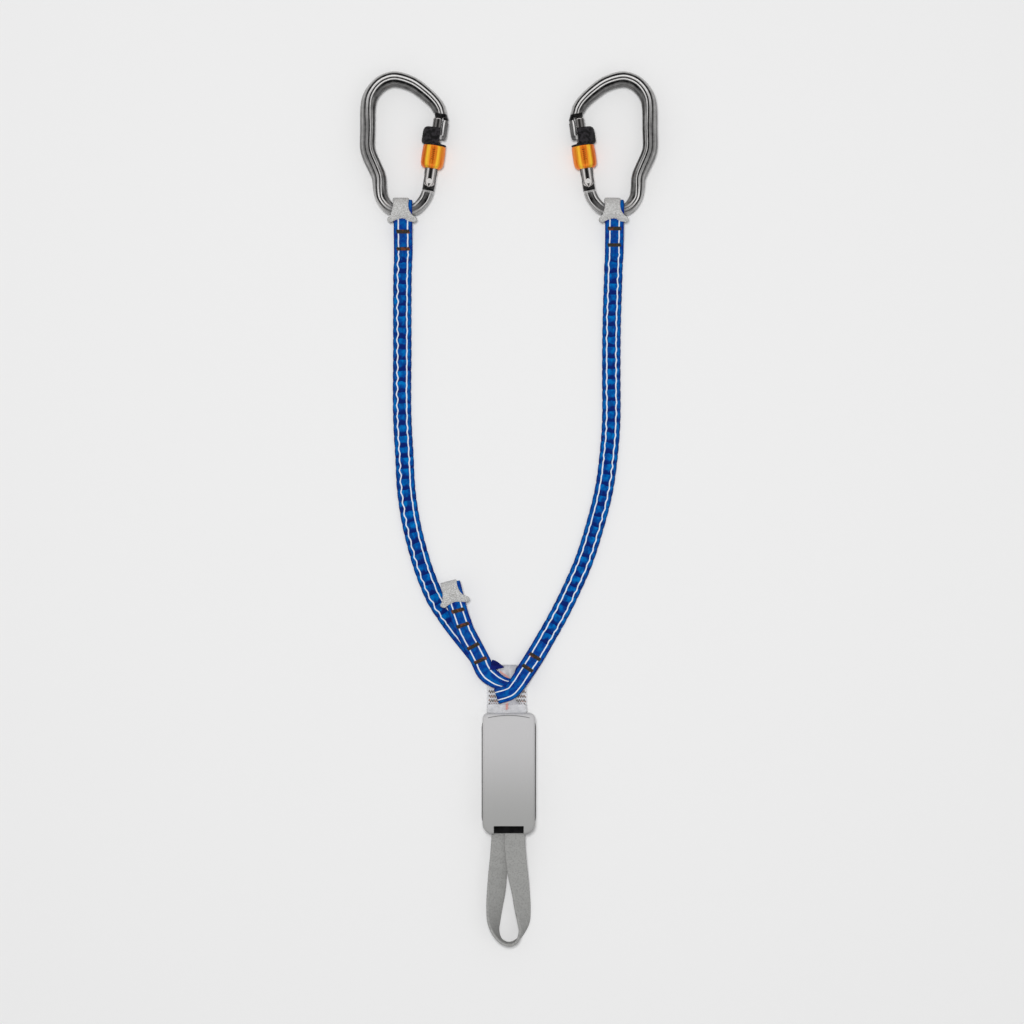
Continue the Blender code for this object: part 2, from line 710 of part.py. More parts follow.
def build_gate_inside(side, holder):
    """Plunger and spring in the gate's bore."""
    bore = GATE_BORE / 2 - CLEARANCE
    start = TONGUE_RADIUS + CLEARANCE
    shank = start + PLUNGER_LENGTH * 0.6
    stem = bore - GATE_SPRING_WIRE - CLEARANCE
    profile = (
        (bore * 0.6, start), (bore, start + PLUNGER_LENGTH * 0.15), (bore, shank),
        (stem, shank), (stem, start + PLUNGER_LENGTH),
    )
    plunger = f"{side}_gate_plunger"
    place(plunger, rod(plunger, profile, 12), "stainless", holder)
    middle = bore - GATE_SPRING_WIRE / 2
    low = shank + GATE_SPRING_WIRE / 2 + CLEARANCE
    high = GATE_BORE_DEPTH - GATE_SPRING_WIRE / 2 - CLEARANCE
    points = helix(middle, low, high, GATE_SPRING_CURLS)
    name = f"{side}_gate_spring"
    place(name, wire(name, points, GATE_SPRING_WIRE / 2), "spring_steel", holder)


def sleeve_mesh(name):
    """The turned locking sleeve with its grip flutes and inner lip."""
    full = SLEEVE_DIAMETER / 2
    bore = GATE_RADIUS + CLEARANCE
    hollow = FLANGE_DIAMETER / 2 + CLEARANCE
    low, high = SLEEVE_FOOT, SLEEVE_TOP
    length = SLEEVE_LENGTH
    outer_shares = (
        (0.72, 0.00), (0.87, 0.07), (0.96, 0.16), (0.99, 0.28), (1.00, 0.42),
        (1.00, 0.46), (1.00, 0.74), (0.99, 0.78), (0.98, 0.94), (0.94, 1.00),
    )
    profile = [(full * a, low + length * b) for a, b in outer_shares]
    profile += [(hollow, high), (hollow, low + SLEEVE_LIP), (bore, low + SLEEVE_LIP), (bore, low)]
    return turned(name, profile, 28, flutes=(5, 6), flute_depth=SLEEVE_WALL / 6)


def build_collar(side, holder):
    """The black collar: a ring on the sleeve and a hood round the gate's inner side."""
    name = f"{side}_lock_collar"
    flip = 1 if side == "left" else -1
    ring = COLLAR_RING_DIAMETER / 2
    bore = GATE_RADIUS + CLEARANCE
    low, high = COLLAR_FOOT - COLLAR_RING, COLLAR_TOP
    join = low + COLLAR_RING
    ring_rows = ((ring * 0.97, low), (ring, low + COLLAR_RING * 0.3), (ring, join))
    collar = place(name, rod(name, ring_rows, 24), "black_collar", holder)
    side_flat = NOSE_OFFSET - 1.5 * CLEARANCE
    hood_shares = (
        (0.88, 0.96, 0.0), (1.0, 1.0, 0.14), (1.0, 0.98, 0.72), (0.93, 0.88, 0.92), (0.78, 0.72, 1.0),
    )
    rings = []
    for bulge_share, width_share, along_share in hood_shares:
        bulge = COLLAR_BULGE * bulge_share
        half = COLLAR_WIDTH / 2 * width_share
        along = join - COLLAR_RING / 2 + (high - join + COLLAR_RING / 2) * along_share
        shape = [(side_flat, half)] + arc((0, 0), 1, 90, 270, 10) + [(side_flat, -half)]
        points = [shape[0]] + [(a * bulge, b * half) for a, b in shape[1:-1]] + [shape[-1]]
        rings.append([Vector((flip * a, along, b)) for a, b in points])
    carve(collar, loft(f"{name}_hood", rings), "UNION")
    carve(collar, rod(f"{name}_bore", ((bore, low - OVERRUN), (bore, high + OVERRUN)), 20))


def build_lock(side, holder):
    """Locking sleeve, collar and the spring that pushes them up the gate."""
    name = f"{side}_lock_sleeve"
    place(name, sleeve_mesh(name), "orange_sleeve", holder)
    build_collar(side, holder)


def build_lock_spring(side, holder):
    radius = (GATE_RADIUS + FLANGE_DIAMETER / 2) / 2
    low = FLANGE_FOOT + FLANGE_LENGTH + LOCK_SPRING_WIRE / 2 + CLEARANCE
    high = COLLAR_FOOT - COLLAR_RING - LOCK_SPRING_WIRE / 2 - CLEARANCE
    points = helix(radius, low, high, LOCK_SPRING_CURLS)
    name = f"{side}_sleeve_spring"
    place(name, wire(name, points, LOCK_SPRING_WIRE / 2), "spring_steel", holder)


def build_carabiner(side):
    """One carabiner, hung in its eye. The right one is the left one mirrored."""
    flip = 1 if side == "left" else -1
    eye = pivot(f"{side}_carabiner_pivot", (-flip * EYE_SPREAD, EYE_RISE, PLANE))
    name = f"{side}_frame"
    mesh = frame_mesh(name)
    if flip < 0:
        mesh = mirrored(mesh)
    frame = place(name, mesh, "forged_body", eye)
    hinge = pivot(f"{side}_gate_pivot", (flip * RIVET.x, RIVET.y, 0), -flip * GATE_LEAN, eye)
    reach = TONGUE_THICKNESS + OVERRUN
    hole = RIVET_DIAMETER / 2 + CLEARANCE
    cutter = rod(f"{name}_hole", ((hole, -reach), (hole, reach)), 16, "Z")
    cutter.transform(Matrix.Translation((flip * RIVET.x, RIVET.y, 0)))
    carve(frame, cutter)
    proud = GATE_RADIUS + RIVET_PROUD
    edge = RIVET_PROUD * 1.5
    rivet_rows = (
        (RIVET_DIAMETER * 0.36, -proud), (RIVET_DIAMETER / 2, edge - proud),
        (RIVET_DIAMETER / 2, proud - edge), (RIVET_DIAMETER * 0.36, proud),
    )
    place(f"{side}_gate_rivet", rod(f"{side}_gate_rivet", rivet_rows, 16, "Z"), "stainless", hinge)
    build_gate(side, hinge)
    build_gate_inside(side, hinge)
    slide = pivot(f"{side}_lock_slide", (0, 0, 0), 0, hinge)
    build_lock(side, slide)
    build_lock_spring(side, hinge)


def eye_profile(half_gap, grow=0.0):
    """The middle line of a webbing eye as height over the bar and offset from its
    plane, up the front, over the top and down the back, grown by an offset."""
    half = half_gap + WEBBING_THICKNESS / 2
    layer = (WEBBING_THICKNESS + LAYER_GAP) / 2
    reach = EYE_TOP + WEBBING_THICKNESS / 2 - half
    widen = half - layer
    side = [(-EYE_CLOSE, layer)]
    for height_share, width_share in ((0.72, 0.14), (0.44, 0.50), (0.20, 0.84)):
        side.append((-EYE_CLOSE * height_share, layer + widen * width_share))
    front = [(a, b + grow) for a, b in side] + arc((reach, 0), half + grow, 90, 0, 5)
    return front + [(a, -b) for a, b in reversed(front[:-1])]


def profile_width(profile, height):
    """Half width of an eye's profile at one height."""
    rising = profile[:len(profile) // 2]
    for (a, wide_a), (b, wide_b) in zip(rising, rising[1:]):
        if a <= height <= b:
            return wide_a + (wide_b - wide_a) * (height - a) / (b - a)
    return rising[0][1]


def build_eye(side):
    """The sewn eye of one arm: a strap folded back on itself round the bar."""
    name = f"{side}_eye_webbing"
    layer = (WEBBING_THICKNESS + LAYER_GAP) / 2
    drop = PLANE - ARM_THICKNESS / 2
    tail = []
    for share in (1.0, 0.8, 0.55, 0.3, 0.12):
        ease = share * share * (3 - 2 * share)
        tail.append((-EYE_CLOSE - (STEM_LENGTH - EYE_CLOSE) * share, -drop * ease))
    rows = [(y, z + layer) for y, z in tail] + eye_profile(EYE_HALF_GAP)
    rows += [(y, z - layer) for y, z in reversed(tail)]
    points = [Vector((0, y, z)) for y, z in rows]
    count = len(points)
    across = [Vector((1, 0, 0))] * count
    mesh = strap(name, points, across, [WEBBING_WIDTH] * count, WEBBING_THICKNESS)
    obj = place(name, mesh, "blue_webbing")
    obj.location = ((-1 if side == "left" else 1) * EYE_SPREAD, EYE_RISE, PLANE)


def keeper_outer(half_gap, name):
    """The keeper's outside: a neck over the eye that flares to a collar."""
    tall = half_gap + WEBBING_THICKNESS + CLEARANCE + KEEPER_WALL
    top = EYE_TOP + WEBBING_THICKNESS + CLEARANCE + KEEPER_WALL
    neck, flare = KEEPER_NECK / 2, KEEPER_FLARE / 2
    foot = -KEEPER_SKIRT
    profile = eye_profile(half_gap, WEBBING_THICKNESS / 2 + CLEARANCE + KEEPER_WALL)
    rows = [
        (foot * height, neck + (flare - neck) * spread, shift)
        for height, spread, shift in KEEPER_SHARES
    ]
    stations = [(y, half_x, min(tall, profile_width(profile, y)), shift) for y, half_x, shift in rows]
    centre = top - tall
    for turn, narrow in ((25, 1.0), (45, 0.99), (62, 0.97), (78, 0.93)):
        angle = math.radians(turn)
        stations.append((centre + tall * math.sin(angle), neck * narrow, tall * math.cos(angle), 1.0))
    rings = [
        [Vector((KEEPER_SHIFT * shift + half_x * a, y, half_z * b)) for a, b in BLOCK_SHARES]
        for y, half_x, half_z, shift in stations
    ]
    return loft(name, rings)


def keeper_cutters(half_gap, name):
    """What the keeper leaves free: the eye across it and the stem below."""
    profile = eye_profile(half_gap, WEBBING_THICKNESS / 2 + CLEARANCE)
    floor = KEEPER_COLLAR - KEEPER_SKIRT
    at_floor = profile_width(profile, floor)
    raised = [(a, b) for a, b in profile if a > floor]
    outline = [(floor, at_floor)] + raised + [(floor, -at_floor)]
    eye = extruded(f"{name}_eye", outline, -KEEPER_FLARE, KEEPER_FLARE, "X")
    half = WEBBING_WIDTH / 2 + CLEARANCE
    rings = []
    heights = [-EYE_CLOSE, -EYE_CLOSE * 0.72, floor, floor + OVERRUN / 2]
    for y in heights:
        half_z = profile_width(profile, min(y, floor))
        rings.append([Vector((a * half, y, b * half_z)) for a, b in ((1, 1), (-1, 1), (-1, -1), (1, -1))])
    return eye, loft(f"{name}_stem", rings)


def build_keeper(name, half_gap, location, lean=0.0):
    """The rubber keeper that holds webbing and bar together."""
    holder = pivot(f"{name}_seat", location, lean)
    obj = place(name, keeper_outer(half_gap, name), "keeper_rubber", holder)
    for cutter in keeper_cutters(half_gap, name):
        carve(obj, cutter)


def arm_route(side):
    """The arm's middle line, from its eye's stem to the start of its strap."""
    shares, strap_rows = {
        "left": (LEFT_ARM_SHARES, LEFT_UNDER_SHARES),
        "right": (RIGHT_ARM_SHARES, RIGHT_FRONT_SHARES),
    }[side]
    start_x = (-1 if side == "left" else 1) * EYE_SPREAD
    rows = [
        (start_x + (JUNCTION_SHIFT - start_x) * a, EYE_RISE + (-JUNCTION_DROP - EYE_RISE) * b)
        for a, b in shares
    ]
    near, after = (point.to_2d() for point in junction_points(strap_rows[:2]))
    foot = near - (after - near).normalized() * CLEARANCE * 3
    rows.append(tuple(foot))
    return [Vector((x, y, ARM_THICKNESS / 2)) for x, y in smooth_rows(rows, 6)]


def build_arm(side):
    """A gathered elastic arm: a flat tube drawn into even puckers."""
    name = f"{side}_arm_webbing"
    start_x = (-1 if side == "left" else 1) * EYE_SPREAD
    head = Vector((start_x, EYE_RISE - STEM_LENGTH - CLEARANCE * 3, ARM_THICKNESS / 2))
    route = [head] + [point for point in arm_route(side) if point.y < head.y - ARM_PITCH]
    points = even_points(route, ARM_PITCH / 2)
    up = Vector((0, 0, 1))
    rings = []
    last = len(points) - 1
    for i, (point, across) in enumerate(zip(points, side_vectors(points))):
        full = i % 2 and 0 < i < last
        thick = ARM_THICKNESS / 2 * (1 if full else ARM_VALLEY_SHARE)
        wide = WEBBING_WIDTH / 2 * (1 if full else ARM_PINCH_SHARE)
        rings.append([point + across * (a * wide) + up * (b * thick) for a, b in OVAL_SHARES])
    place(name, loft(name, rings), "blue_webbing")
    length = sum((b - a).length for a, b in zip(points, points[1:]))
    print(f"{name}: {length * 1000:.1f} mm long")


def junction_points(rows):
    """Places at the junction, from webbing widths and layers."""
    corner = Vector((JUNCTION_SHIFT, -JUNCTION_DROP, 0))
    return [
        corner + Vector((x * WEBBING_WIDTH, y * WEBBING_WIDTH, layer * LAYER_PITCH))
        for x, y, layer, _ in rows
    ]


def folded_run(first, second, width):
    """Points, vectors across and widths of a strap that runs out, folds round and
    runs back over or under itself."""
    first, second = smooth_rows(first, 2), smooth_rows(second, 2)
    out, home = junction_points(first), junction_points(second)
    across = side_vectors(out)
    outward = across[-1].cross(Vector((0, 0, 1)))
    if outward.dot(out[-1] - out[-2]) < 0:
        outward.negate()
    centre = (out[-1] + home[0]) / 2
    radius = (out[-1].z - home[0].z) / 2
    fold = []
    for turn in (30, 60, 90, 120, 150):
        angle = math.radians(turn)
        rise = Vector((0, 0, radius * math.cos(angle)))
        fold.append(centre + outward * abs(radius) * math.sin(angle) + rise)
    back = side_vectors(home)
    if back[0].dot(across[-1]) < 0:
        back = [-side for side in back]
    back[0] = across[-1]
    points = out + fold + home
    sides = across + [across[-1]] * len(fold) + back
    shares = [row[3] for row in first] + [first[-1][3]] * len(fold) + [row[3] for row in second]
    return points, sides, [width * share for share in shares]


def build_right_junction():
    """The right arm's sewn end, folded round the top loop's front layer."""
    name = "right_junction_strap"
    points, sides, widths = folded_run(RIGHT_FRONT_SHARES, RIGHT_REAR_SHARES, WEBBING_WIDTH)
    place(name, strap(name, points, sides, widths, WEBBING_THICKNESS), "blue_webbing")


def rest_eye_seat():
    """Where the rest arm's eye lies: on the left arm, leaned over."""
    under = ARM_THICKNESS + CLEARANCE
    height = under + KEEPER_WALL + CLEARANCE + WEBBING_THICKNESS + REST_HALF_GAP
    return Vector((REST_EYE_X, REST_EYE_Y, height))


def build_left_junction():
    """The left arm's end: out under, folded round the top loop, back over itself
    to the rest arm's eye, round that and under again."""
    name = "left_junction_strap"
    points, sides, widths = folded_run(LEFT_UNDER_SHARES, LEFT_OVER_SHARES, WEBBING_WIDTH)
    seat = rest_eye_seat()
    turn = Matrix.Rotation(REST_LEAN, 3, "Z")
    eye = [seat + turn @ Vector((0, y, z)) for y, z in eye_profile(REST_HALF_GAP)]
    across = turn @ Vector((1, 0, 0))
    if across.dot(sides[-1]) < 0:
        across.negate()
    stub = junction_points(REST_STUB_SHARES)
    stub_sides = [sides[-1], sides[-3]]
    points += eye + stub
    sides += [across] * len(eye) + stub_sides
    widths += [WEBBING_WIDTH] * (len(eye) + len(stub))
    place(name, strap(name, points, sides, widths, WEBBING_THICKNESS), "blue_webbing")


def build_top_loop():
    """The absorber's top loop of white webbing, and the clear sheath at its foot."""
    name = "absorber_top_loop"
    tail_y = -POUCH_TOP - TOP_LOOP_TAIL
    rows = smooth_rows(TOP_LOOP_SHARES, 2)
    kept = [(point, row[3]) for point, row in zip(junction_points(rows), rows) if point.y > tail_y]
    first, last = (Vector((kept[i][0].x, tail_y, layer * LAYER_PITCH)) for i, layer in (
        (0, TOP_LOOP_SHARES[0][2]), (-1, TOP_LOOP_SHARES[-1][2])))
    points = [first] + [point for point, _ in kept] + [last]
    shares = [kept[0][1]] + [share for _, share in kept] + [kept[-1][1]]
    sides = [Vector((1, 0, 0))] * len(points)
    widths = [TOP_LOOP_WIDTH * share for share in shares]
    place(name, strap(name, points, sides, widths, TOP_LOOP_THICKNESS), "white_webbing")
    half = len(points) // 2
    build_sheath(list(reversed(points[:half])), points[half:])


def loop_span(points, height):
    """Height over the floor of a run of points where it passes one y."""
    for a, b in zip(points, points[1:]):
        if a.y >= height >= b.y:
            return a.z + (b.z - a.z) * (a.y - height) / (a.y - b.y)
    return points[-1].z


def build_sheath(down, up):
    """A clear flat tube round both layers of the top loop, down to the pouch."""
    name = "loop_sheath"
    foot = -POUCH_TOP + CLEARANCE
    middle = JUNCTION_SHIFT + TOP_LOOP_SHARES[0][0] * WEBBING_WIDTH
    rings = []
    levels = [foot + SHEATH_LENGTH * share for share in (0.0, 0.35, 0.7, 1.0)]
    for wall, heights in ((SHEATH_WALL, levels), (0.0, list(reversed(levels)))):
        for y in heights:
            room = TOP_LOOP_THICKNESS * 0.9 + CLEARANCE + wall
            high = loop_span(down, y) + room
            low = max(loop_span(up, y) - room, CLEARANCE + SHEATH_WALL - wall)
            half = SHEATH_WIDTH / 2 - SHEATH_WALL + wall
            rings.append([
                Vector((middle + half * a, y, (high + low) / 2 + (high - low) / 2 * b))
                for a, b in BAND_SHARES
            ])
    place(name, loft(name, rings, ends=False), "clear_sheath")


def pouch_outline(inset):
    """The pouch's outline, with its own corners at head and foot."""
    half = POUCH_WIDTH / 2 - inset
    head, foot = -POUCH_TOP - inset, -POUCH_TOP - POUCH_LENGTH + inset
    points = []
    corners = (
        (1, 1, POUCH_TOP_CORNER, 0), (-1, 1, POUCH_TOP_CORNER, 90),
        (-1, -1, POUCH_FOOT_CORNER, 180), (1, -1, POUCH_FOOT_CORNER, 270),
    )
    for side, level, radius, start in corners:
        round_by = max(radius - inset, POUCH_WALL)
        x = side * (half - round_by)
        y = head - round_by if level > 0 else foot + round_by
        points += arc((x, y), round_by, start, start + 90, 4)
    return points


def pouch_shell(name, face, edge, split, crown):
    """Half of the pouch: a thin tray from its rim at the split to its face."""
    out = 1 if face > split else -1
    wall = POUCH_WALL
    rows = (
        (POUCH_CROWN * 3 + wall, face - out * wall),
        (edge * 0.6 + wall, face - out * (wall + crown)),
        (wall, face - out * (edge + crown)),
        (wall, split),
        (0.0, split),
        (0.0, face - out * (edge + crown)),
        (edge * 0.3, face - out * (edge * 0.3 + crown)),
        (edge, face - out * crown * 0.6),
        (POUCH_CROWN * 3, face),
    )
    rings = [[Vector((x, y, z)) for x, y in pouch_outline(inset)] for inset, z in rows]
    return loft(name, rings)


def build_pouch():
    """The absorber's pouch: front and back shells and the piping at its sides."""
    gap = PIPING_THICKNESS / 2 + CLEARANCE
    upper = pouch_shell("pouch_front", POUCH_THICKNESS, POUCH_EDGE, POUCH_MIDDLE + gap, POUCH_CROWN / 3)
    lower = pouch_shell("pouch_back", 0.0, POUCH_EDGE, POUCH_MIDDLE - gap, 0.0)
    front = place("pouch_front", upper, "pouch_shell")
    back = place("pouch_back", lower, "pouch_shell")
    middle = JUNCTION_SHIFT + TOP_LOOP_SHARES[0][0] * WEBBING_WIDTH
    half = TOP_LOOP_WIDTH * TOP_LOOP_SHARES[0][3] / 2 + OVERRUN / 4
    low = LAYER_PITCH * TOP_LOOP_SHARES[-2][2] - TOP_LOOP_THICKNESS * 1.5
    high = LAYER_PITCH * TOP_LOOP_SHARES[0][2] + TOP_LOOP_THICKNESS
    head = -POUCH_TOP
    near = (middle - half, head - POUCH_WALL - OVERRUN, low)
    carve(back, box("pouch_head_slot", near, (middle + half, head + OVERRUN, high)))
    foot = -POUCH_FOOT
    left = TIE_WIDTH * (TIE_LEFT_SHARES[0][0] - 0.5) - OVERRUN / 4
    right = TIE_WIDTH * (TIE_RIGHT_SHARES[-1][0] + 0.5) + OVERRUN / 4
    below = TIE_WIDTH * TIE_LEFT_SHARES[0][2] - TIE_THICKNESS / 2 - OVERRUN / 4
    above = TIE_WIDTH * TIE_RIGHT_SHARES[-1][2] + TIE_THICKNESS / 2 + OVERRUN / 4
    reach = POUCH_WALL + OVERRUN
    for shell in (front, back):
        name = f"{shell.name}_foot_slot"
        carve(shell, box(name, (left, foot - OVERRUN, below), (right, foot + reach, above)))
    window = TAB_WIDTH / 2 + CLEARANCE
    far = (window, foot + TAB_LENGTH, POUCH_THICKNESS + OVERRUN)
    carve(front, box("tab_window", (-window, foot - OVERRUN, below), far))
    rim = POUCH_WIDTH / 2
    for side, flip in (("left", -1), ("right", 1)):
        outline = [
            (flip * (rim - PIPING_DEPTH), head - POUCH_TOP_CORNER * 1.6),
            (flip * (rim - CLEARANCE), head - POUCH_TOP_CORNER * 1.6),
            (flip * (rim + CLEARANCE), head - POUCH_TOP_CORNER * 2),
            (flip * (rim + CLEARANCE), foot + POUCH_FOOT_CORNER * 1.4),
            (flip * (rim - CLEARANCE), foot + POUCH_FOOT_CORNER * 1.2),
            (flip * (rim - PIPING_DEPTH), foot + POUCH_FOOT_CORNER * 1.2),
        ]
        half_thick = PIPING_THICKNESS / 2
        name = f"{side}_pouch_piping"
        strip = extruded(name, outline, POUCH_MIDDLE - half_thick, POUCH_MIDDLE + half_thick)
        place(name, strip, "dark_piping")


def build_pack():
    """The tear webbing, folded to and fro between the two loops' tails."""
    head = -POUCH_TOP - TOP_LOOP_TAIL - CLEARANCE
    foot = -POUCH_FOOT + TIE_TAIL + CLEARANCE
    pitch = PACK_SHEET + LAYER_GAP
    lowest = POUCH_WALL + CLEARANCE + PACK_SHEET / 2
    radius = pitch / 2
    near, far = head - radius - PACK_SHEET / 2, foot + radius + PACK_SHEET / 2
    points = []
    for fold in range(PACK_FOLDS):
        z = lowest + fold * pitch
        ends = (near, far) if fold % 2 == 0 else (far, near)
        points += [Vector((0, ends[0], z)), Vector((0, ends[1], z))]
        if fold + 1 < PACK_FOLDS:
            away = -1 if ends[1] == far else 1
            points.append(Vector((0, ends[1] + away * radius * 0.75, z + radius * 0.4)))
            points.append(Vector((0, ends[1] + away * radius * 0.75, z + radius * 1.6)))
    section = ((-1, 1), (1, 1), (1, -1), (-1, -1))
    count = len(points)
    name = "tear_webbing_pack"
    across = [Vector((1, 0, 0))] * count
    mesh = strap(name, points, across, [PACK_WIDTH] * count, PACK_SHEET, section)
    place(name, mesh, "white_webbing")


def build_tie_in_loop():
    """The tie-in loop: flat at the pouch, edge-on round its lowest point."""
    foot = -POUCH_FOOT
    drop = LANYARD_HALF - POUCH_FOOT - TIE_THICKNESS / 2
    rows = list(TIE_LEFT_SHARES) + list(TIE_RIGHT_SHARES)
    head = -TIE_TAIL / drop
    rows = [(rows[0][0], head, *rows[0][2:])] + rows + [(rows[-1][0], head, *rows[-1][2:])]
    points, sides = [], []
    for x, y, z, turn in smooth_rows(rows, 1):
        angle = math.radians(turn)
        points.append(Vector((x * TIE_WIDTH, foot - drop * y, z * TIE_WIDTH)))
        sides.append(Vector((math.cos(angle), 0, -math.sin(angle))))
    low = min(range(len(points)), key=lambda i: points[i].y)
    points[low].y = foot - drop
    count = len(points)
    mesh = strap("tie_in_loop", points, sides, [TIE_WIDTH] * count, TIE_THICKNESS)
    place("tie_in_loop", mesh, "grey_webbing")


def build_tab():
    """A plain dark tab sewn over the tie-in loop at the pouch's foot."""
    base = TIE_WIDTH * TIE_RIGHT_SHARES[-1][2] + TIE_THICKNESS / 2 + CLEARANCE
    foot = -POUCH_FOOT
    top = foot + TAB_LENGTH - CLEARANCE
    half = TAB_WIDTH / 2
    mesh = box("end_tab", (-half, foot + CLEARANCE, base), (half, top, base + TAB_THICKNESS))
    place("end_tab", mesh, "black_tab")


def build_absorber():
    """Top loop and sheath, pouch, tear webbing, tie-in loop and end tab."""
    build_top_loop()
    build_pouch()
    build_pack()
    build_tie_in_loop()
    build_tab()


def main():
    for obj in list(bpy.data.objects):
        bpy.data.objects.remove(obj, do_unlink=True)
    for side in ("left", "right"):
        build_carabiner(side)
        build_eye(side)
        flip = -1 if side == "left" else 1
        build_keeper(f"{side}_keeper", EYE_HALF_GAP, (flip * EYE_SPREAD, EYE_RISE, PLANE))
        build_arm(side)
    build_left_junction()
    build_keeper("rest_keeper", REST_HALF_GAP, rest_eye_seat(), REST_LEAN)
    build_right_junction()
    build_absorber()


main()
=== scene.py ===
"""Looks of the via ferrata lanyard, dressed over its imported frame.

Metres. +X to the right, +Y up the lanyard, +Z up from the floor it lies on.
"""

import math

import bmesh
import bpy
from mathutils import Matrix, Vector, noise

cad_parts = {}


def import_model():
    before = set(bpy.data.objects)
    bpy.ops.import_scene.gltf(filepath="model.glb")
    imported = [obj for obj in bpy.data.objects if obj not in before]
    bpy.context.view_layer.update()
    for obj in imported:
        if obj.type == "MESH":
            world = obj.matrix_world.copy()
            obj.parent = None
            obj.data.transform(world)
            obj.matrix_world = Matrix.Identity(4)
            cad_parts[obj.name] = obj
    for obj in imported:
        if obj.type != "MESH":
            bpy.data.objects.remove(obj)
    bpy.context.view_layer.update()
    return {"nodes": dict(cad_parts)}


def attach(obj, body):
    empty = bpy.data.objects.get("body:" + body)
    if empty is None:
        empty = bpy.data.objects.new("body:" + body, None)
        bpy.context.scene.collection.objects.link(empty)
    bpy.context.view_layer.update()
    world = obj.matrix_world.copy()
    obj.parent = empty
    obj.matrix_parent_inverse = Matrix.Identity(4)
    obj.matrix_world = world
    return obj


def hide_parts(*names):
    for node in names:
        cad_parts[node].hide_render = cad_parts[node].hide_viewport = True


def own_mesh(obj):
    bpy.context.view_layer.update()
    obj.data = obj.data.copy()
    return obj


# Layout, as in the part's source
EYE_SPREAD = 0.0867
EYE_RISE = 0.2431
JUNCTION_SHIFT = -0.0031
JUNCTION_DROP = 0.1529
CLEARANCE = 0.0003
OVERRUN = 0.002
FLOOR_GAP = 0.00003

# Carabiner frame
FRAME_RISE = 0.109
FRAME_REACH = 0.061
BAR_DEPTH = 0.0124
BAR_WIDTH = 0.0104
TONGUE_THICKNESS = 0.0037
TONGUE_RADIUS = 0.005
TONGUE_LENGTH = 0.0062
NOSE_WIDTH = 0.0072
NOSE_DEPTH = 0.0052
NOSE_OFFSET = 0.0034
NOSE_REACH = 0.0178
NECK_LENGTH = 0.0033
NECK_RECESS = 0.0006
NECK_SHARE = 0.84
NOSE_SLANT = math.radians(19)
NOSE_INSET_SHARE = 0.75
NOSE_ROOT_SHARE = 0.6
LIP_LENGTH = 0.0036
LIP_DEPTH = 0.0018
# Black block in the gap at each nose, a painted shadow: its half thickness, reach out and in, foot and rise
GAP_SHADOW_HALF = 0.0044
GAP_SHADOW_OUT = 0.0036
GAP_SHADOW_IN = 0.00334
GAP_SHADOW_FOOT = 0.0006
GAP_SHADOW_RISE = 0.0004

# Gate and lock
GATE_DIAMETER = 0.0105
GATE_TIP_DIAMETER = 0.0084
GATE_CHAMFER = 0.0006
FLANGE_DIAMETER = 0.014
FLANGE_LENGTH = 0.002
SLOT_DEPTH = 0.0057
RIVET_DIAMETER = 0.004
RIVET_PROUD = 0.0004
SLEEVE_DIAMETER = 0.0191
SLEEVE_LENGTH = 0.0187
SLEEVE_LIP = 0.0025
COLLAR_SETBACK = 0.0084
COLLAR_LENGTH = 0.0134
COLLAR_RING = 0.0014
COLLAR_RING_DIAMETER = 0.0186
COLLAR_BULGE = 0.0114
COLLAR_WIDTH = 0.0174
LOCK_SPRING_WIRE = 0.0009
LOCK_SPRING_CURLS = 4
GRIP_TICKS = 6
TICK_PITCH = 0.0016
TICK_WIDTH = 0.0025
TICK_HALF = 0.00028
TICK_RISE = 0.0001
TICK_MIDDLE_SHARE = 0.6
FLUTE_DEPTH = 0.0002
# Two painted highlight streaks on the sleeve: how far from its middle, and how wide
HIGHLIGHT_LANE_PLACE = 0.0045
HIGHLIGHT_LANE_REACH = 0.0031

# Webbing and eyes
WEBBING_WIDTH = 0.0153
WEBBING_THICKNESS = 0.0016
LAYER_GAP = 0.0004
EYE_HALF_GAP = 0.0064
EYE_TOP = 0.0085
EYE_CLOSE = 0.0135
STEM_LENGTH = 0.0335
ARM_THICKNESS = 0.0047
ARM_PITCH = 0.0088
ARM_VALLEY_SHARE = 0.64
ARM_PINCH_SHARE = 0.94
ARM_STEP = 0.0005
ARM_TUCK = 0.0022
ARM_TAPER = 0.006
ARM_POINTS = 44
ARM_CRUMPLE = 0.00016
ARM_SEEDS = {"left": 3.7, "right": 9.1}
ARM_SWAYS = {"left": (1.4, 0.5), "right": (0.6, 0.9)}
WEAVE_PITCH = 0.0011
WEAVE_DEPTH = 0.00016
RIB_DEPTH = 0.00022
SELVEDGE_START = 0.0062
SELVEDGE_END = 0.0073
TACK_RADIUS = 0.00032
TACK_LENGTH = 0.0031
TACK_REACH_SHARE = 0.7
TACK_STITCHES = 15
TACK_LIFT = 0.00016
STITCH_RADIUS = 0.00028
SWING_STEPS = 8
THREAD_TWIST = 0.0006
FILM_THICKNESS = 0.0003
FILM_EDGE = 0.0001

# Keepers
KEEPER_WALL = 0.0015
KEEPER_NECK = 0.0138
KEEPER_FLARE = 0.0246
KEEPER_SKIRT = 0.0085
KEEPER_COLLAR = 0.0042
KEEPER_SHIFT = -0.0017
KEEPER_ARCH = 0.0026
KEEPER_ARCH_REACH = 0.0095
KEEPER_STEM_RISE = 0.001
KEEPER_GRAIN = 0.00032
REST_EYE_X = -0.0450
REST_EYE_Y = -0.0704
REST_LEAN = math.radians(14.4)
REST_HALF_GAP = 0.0032

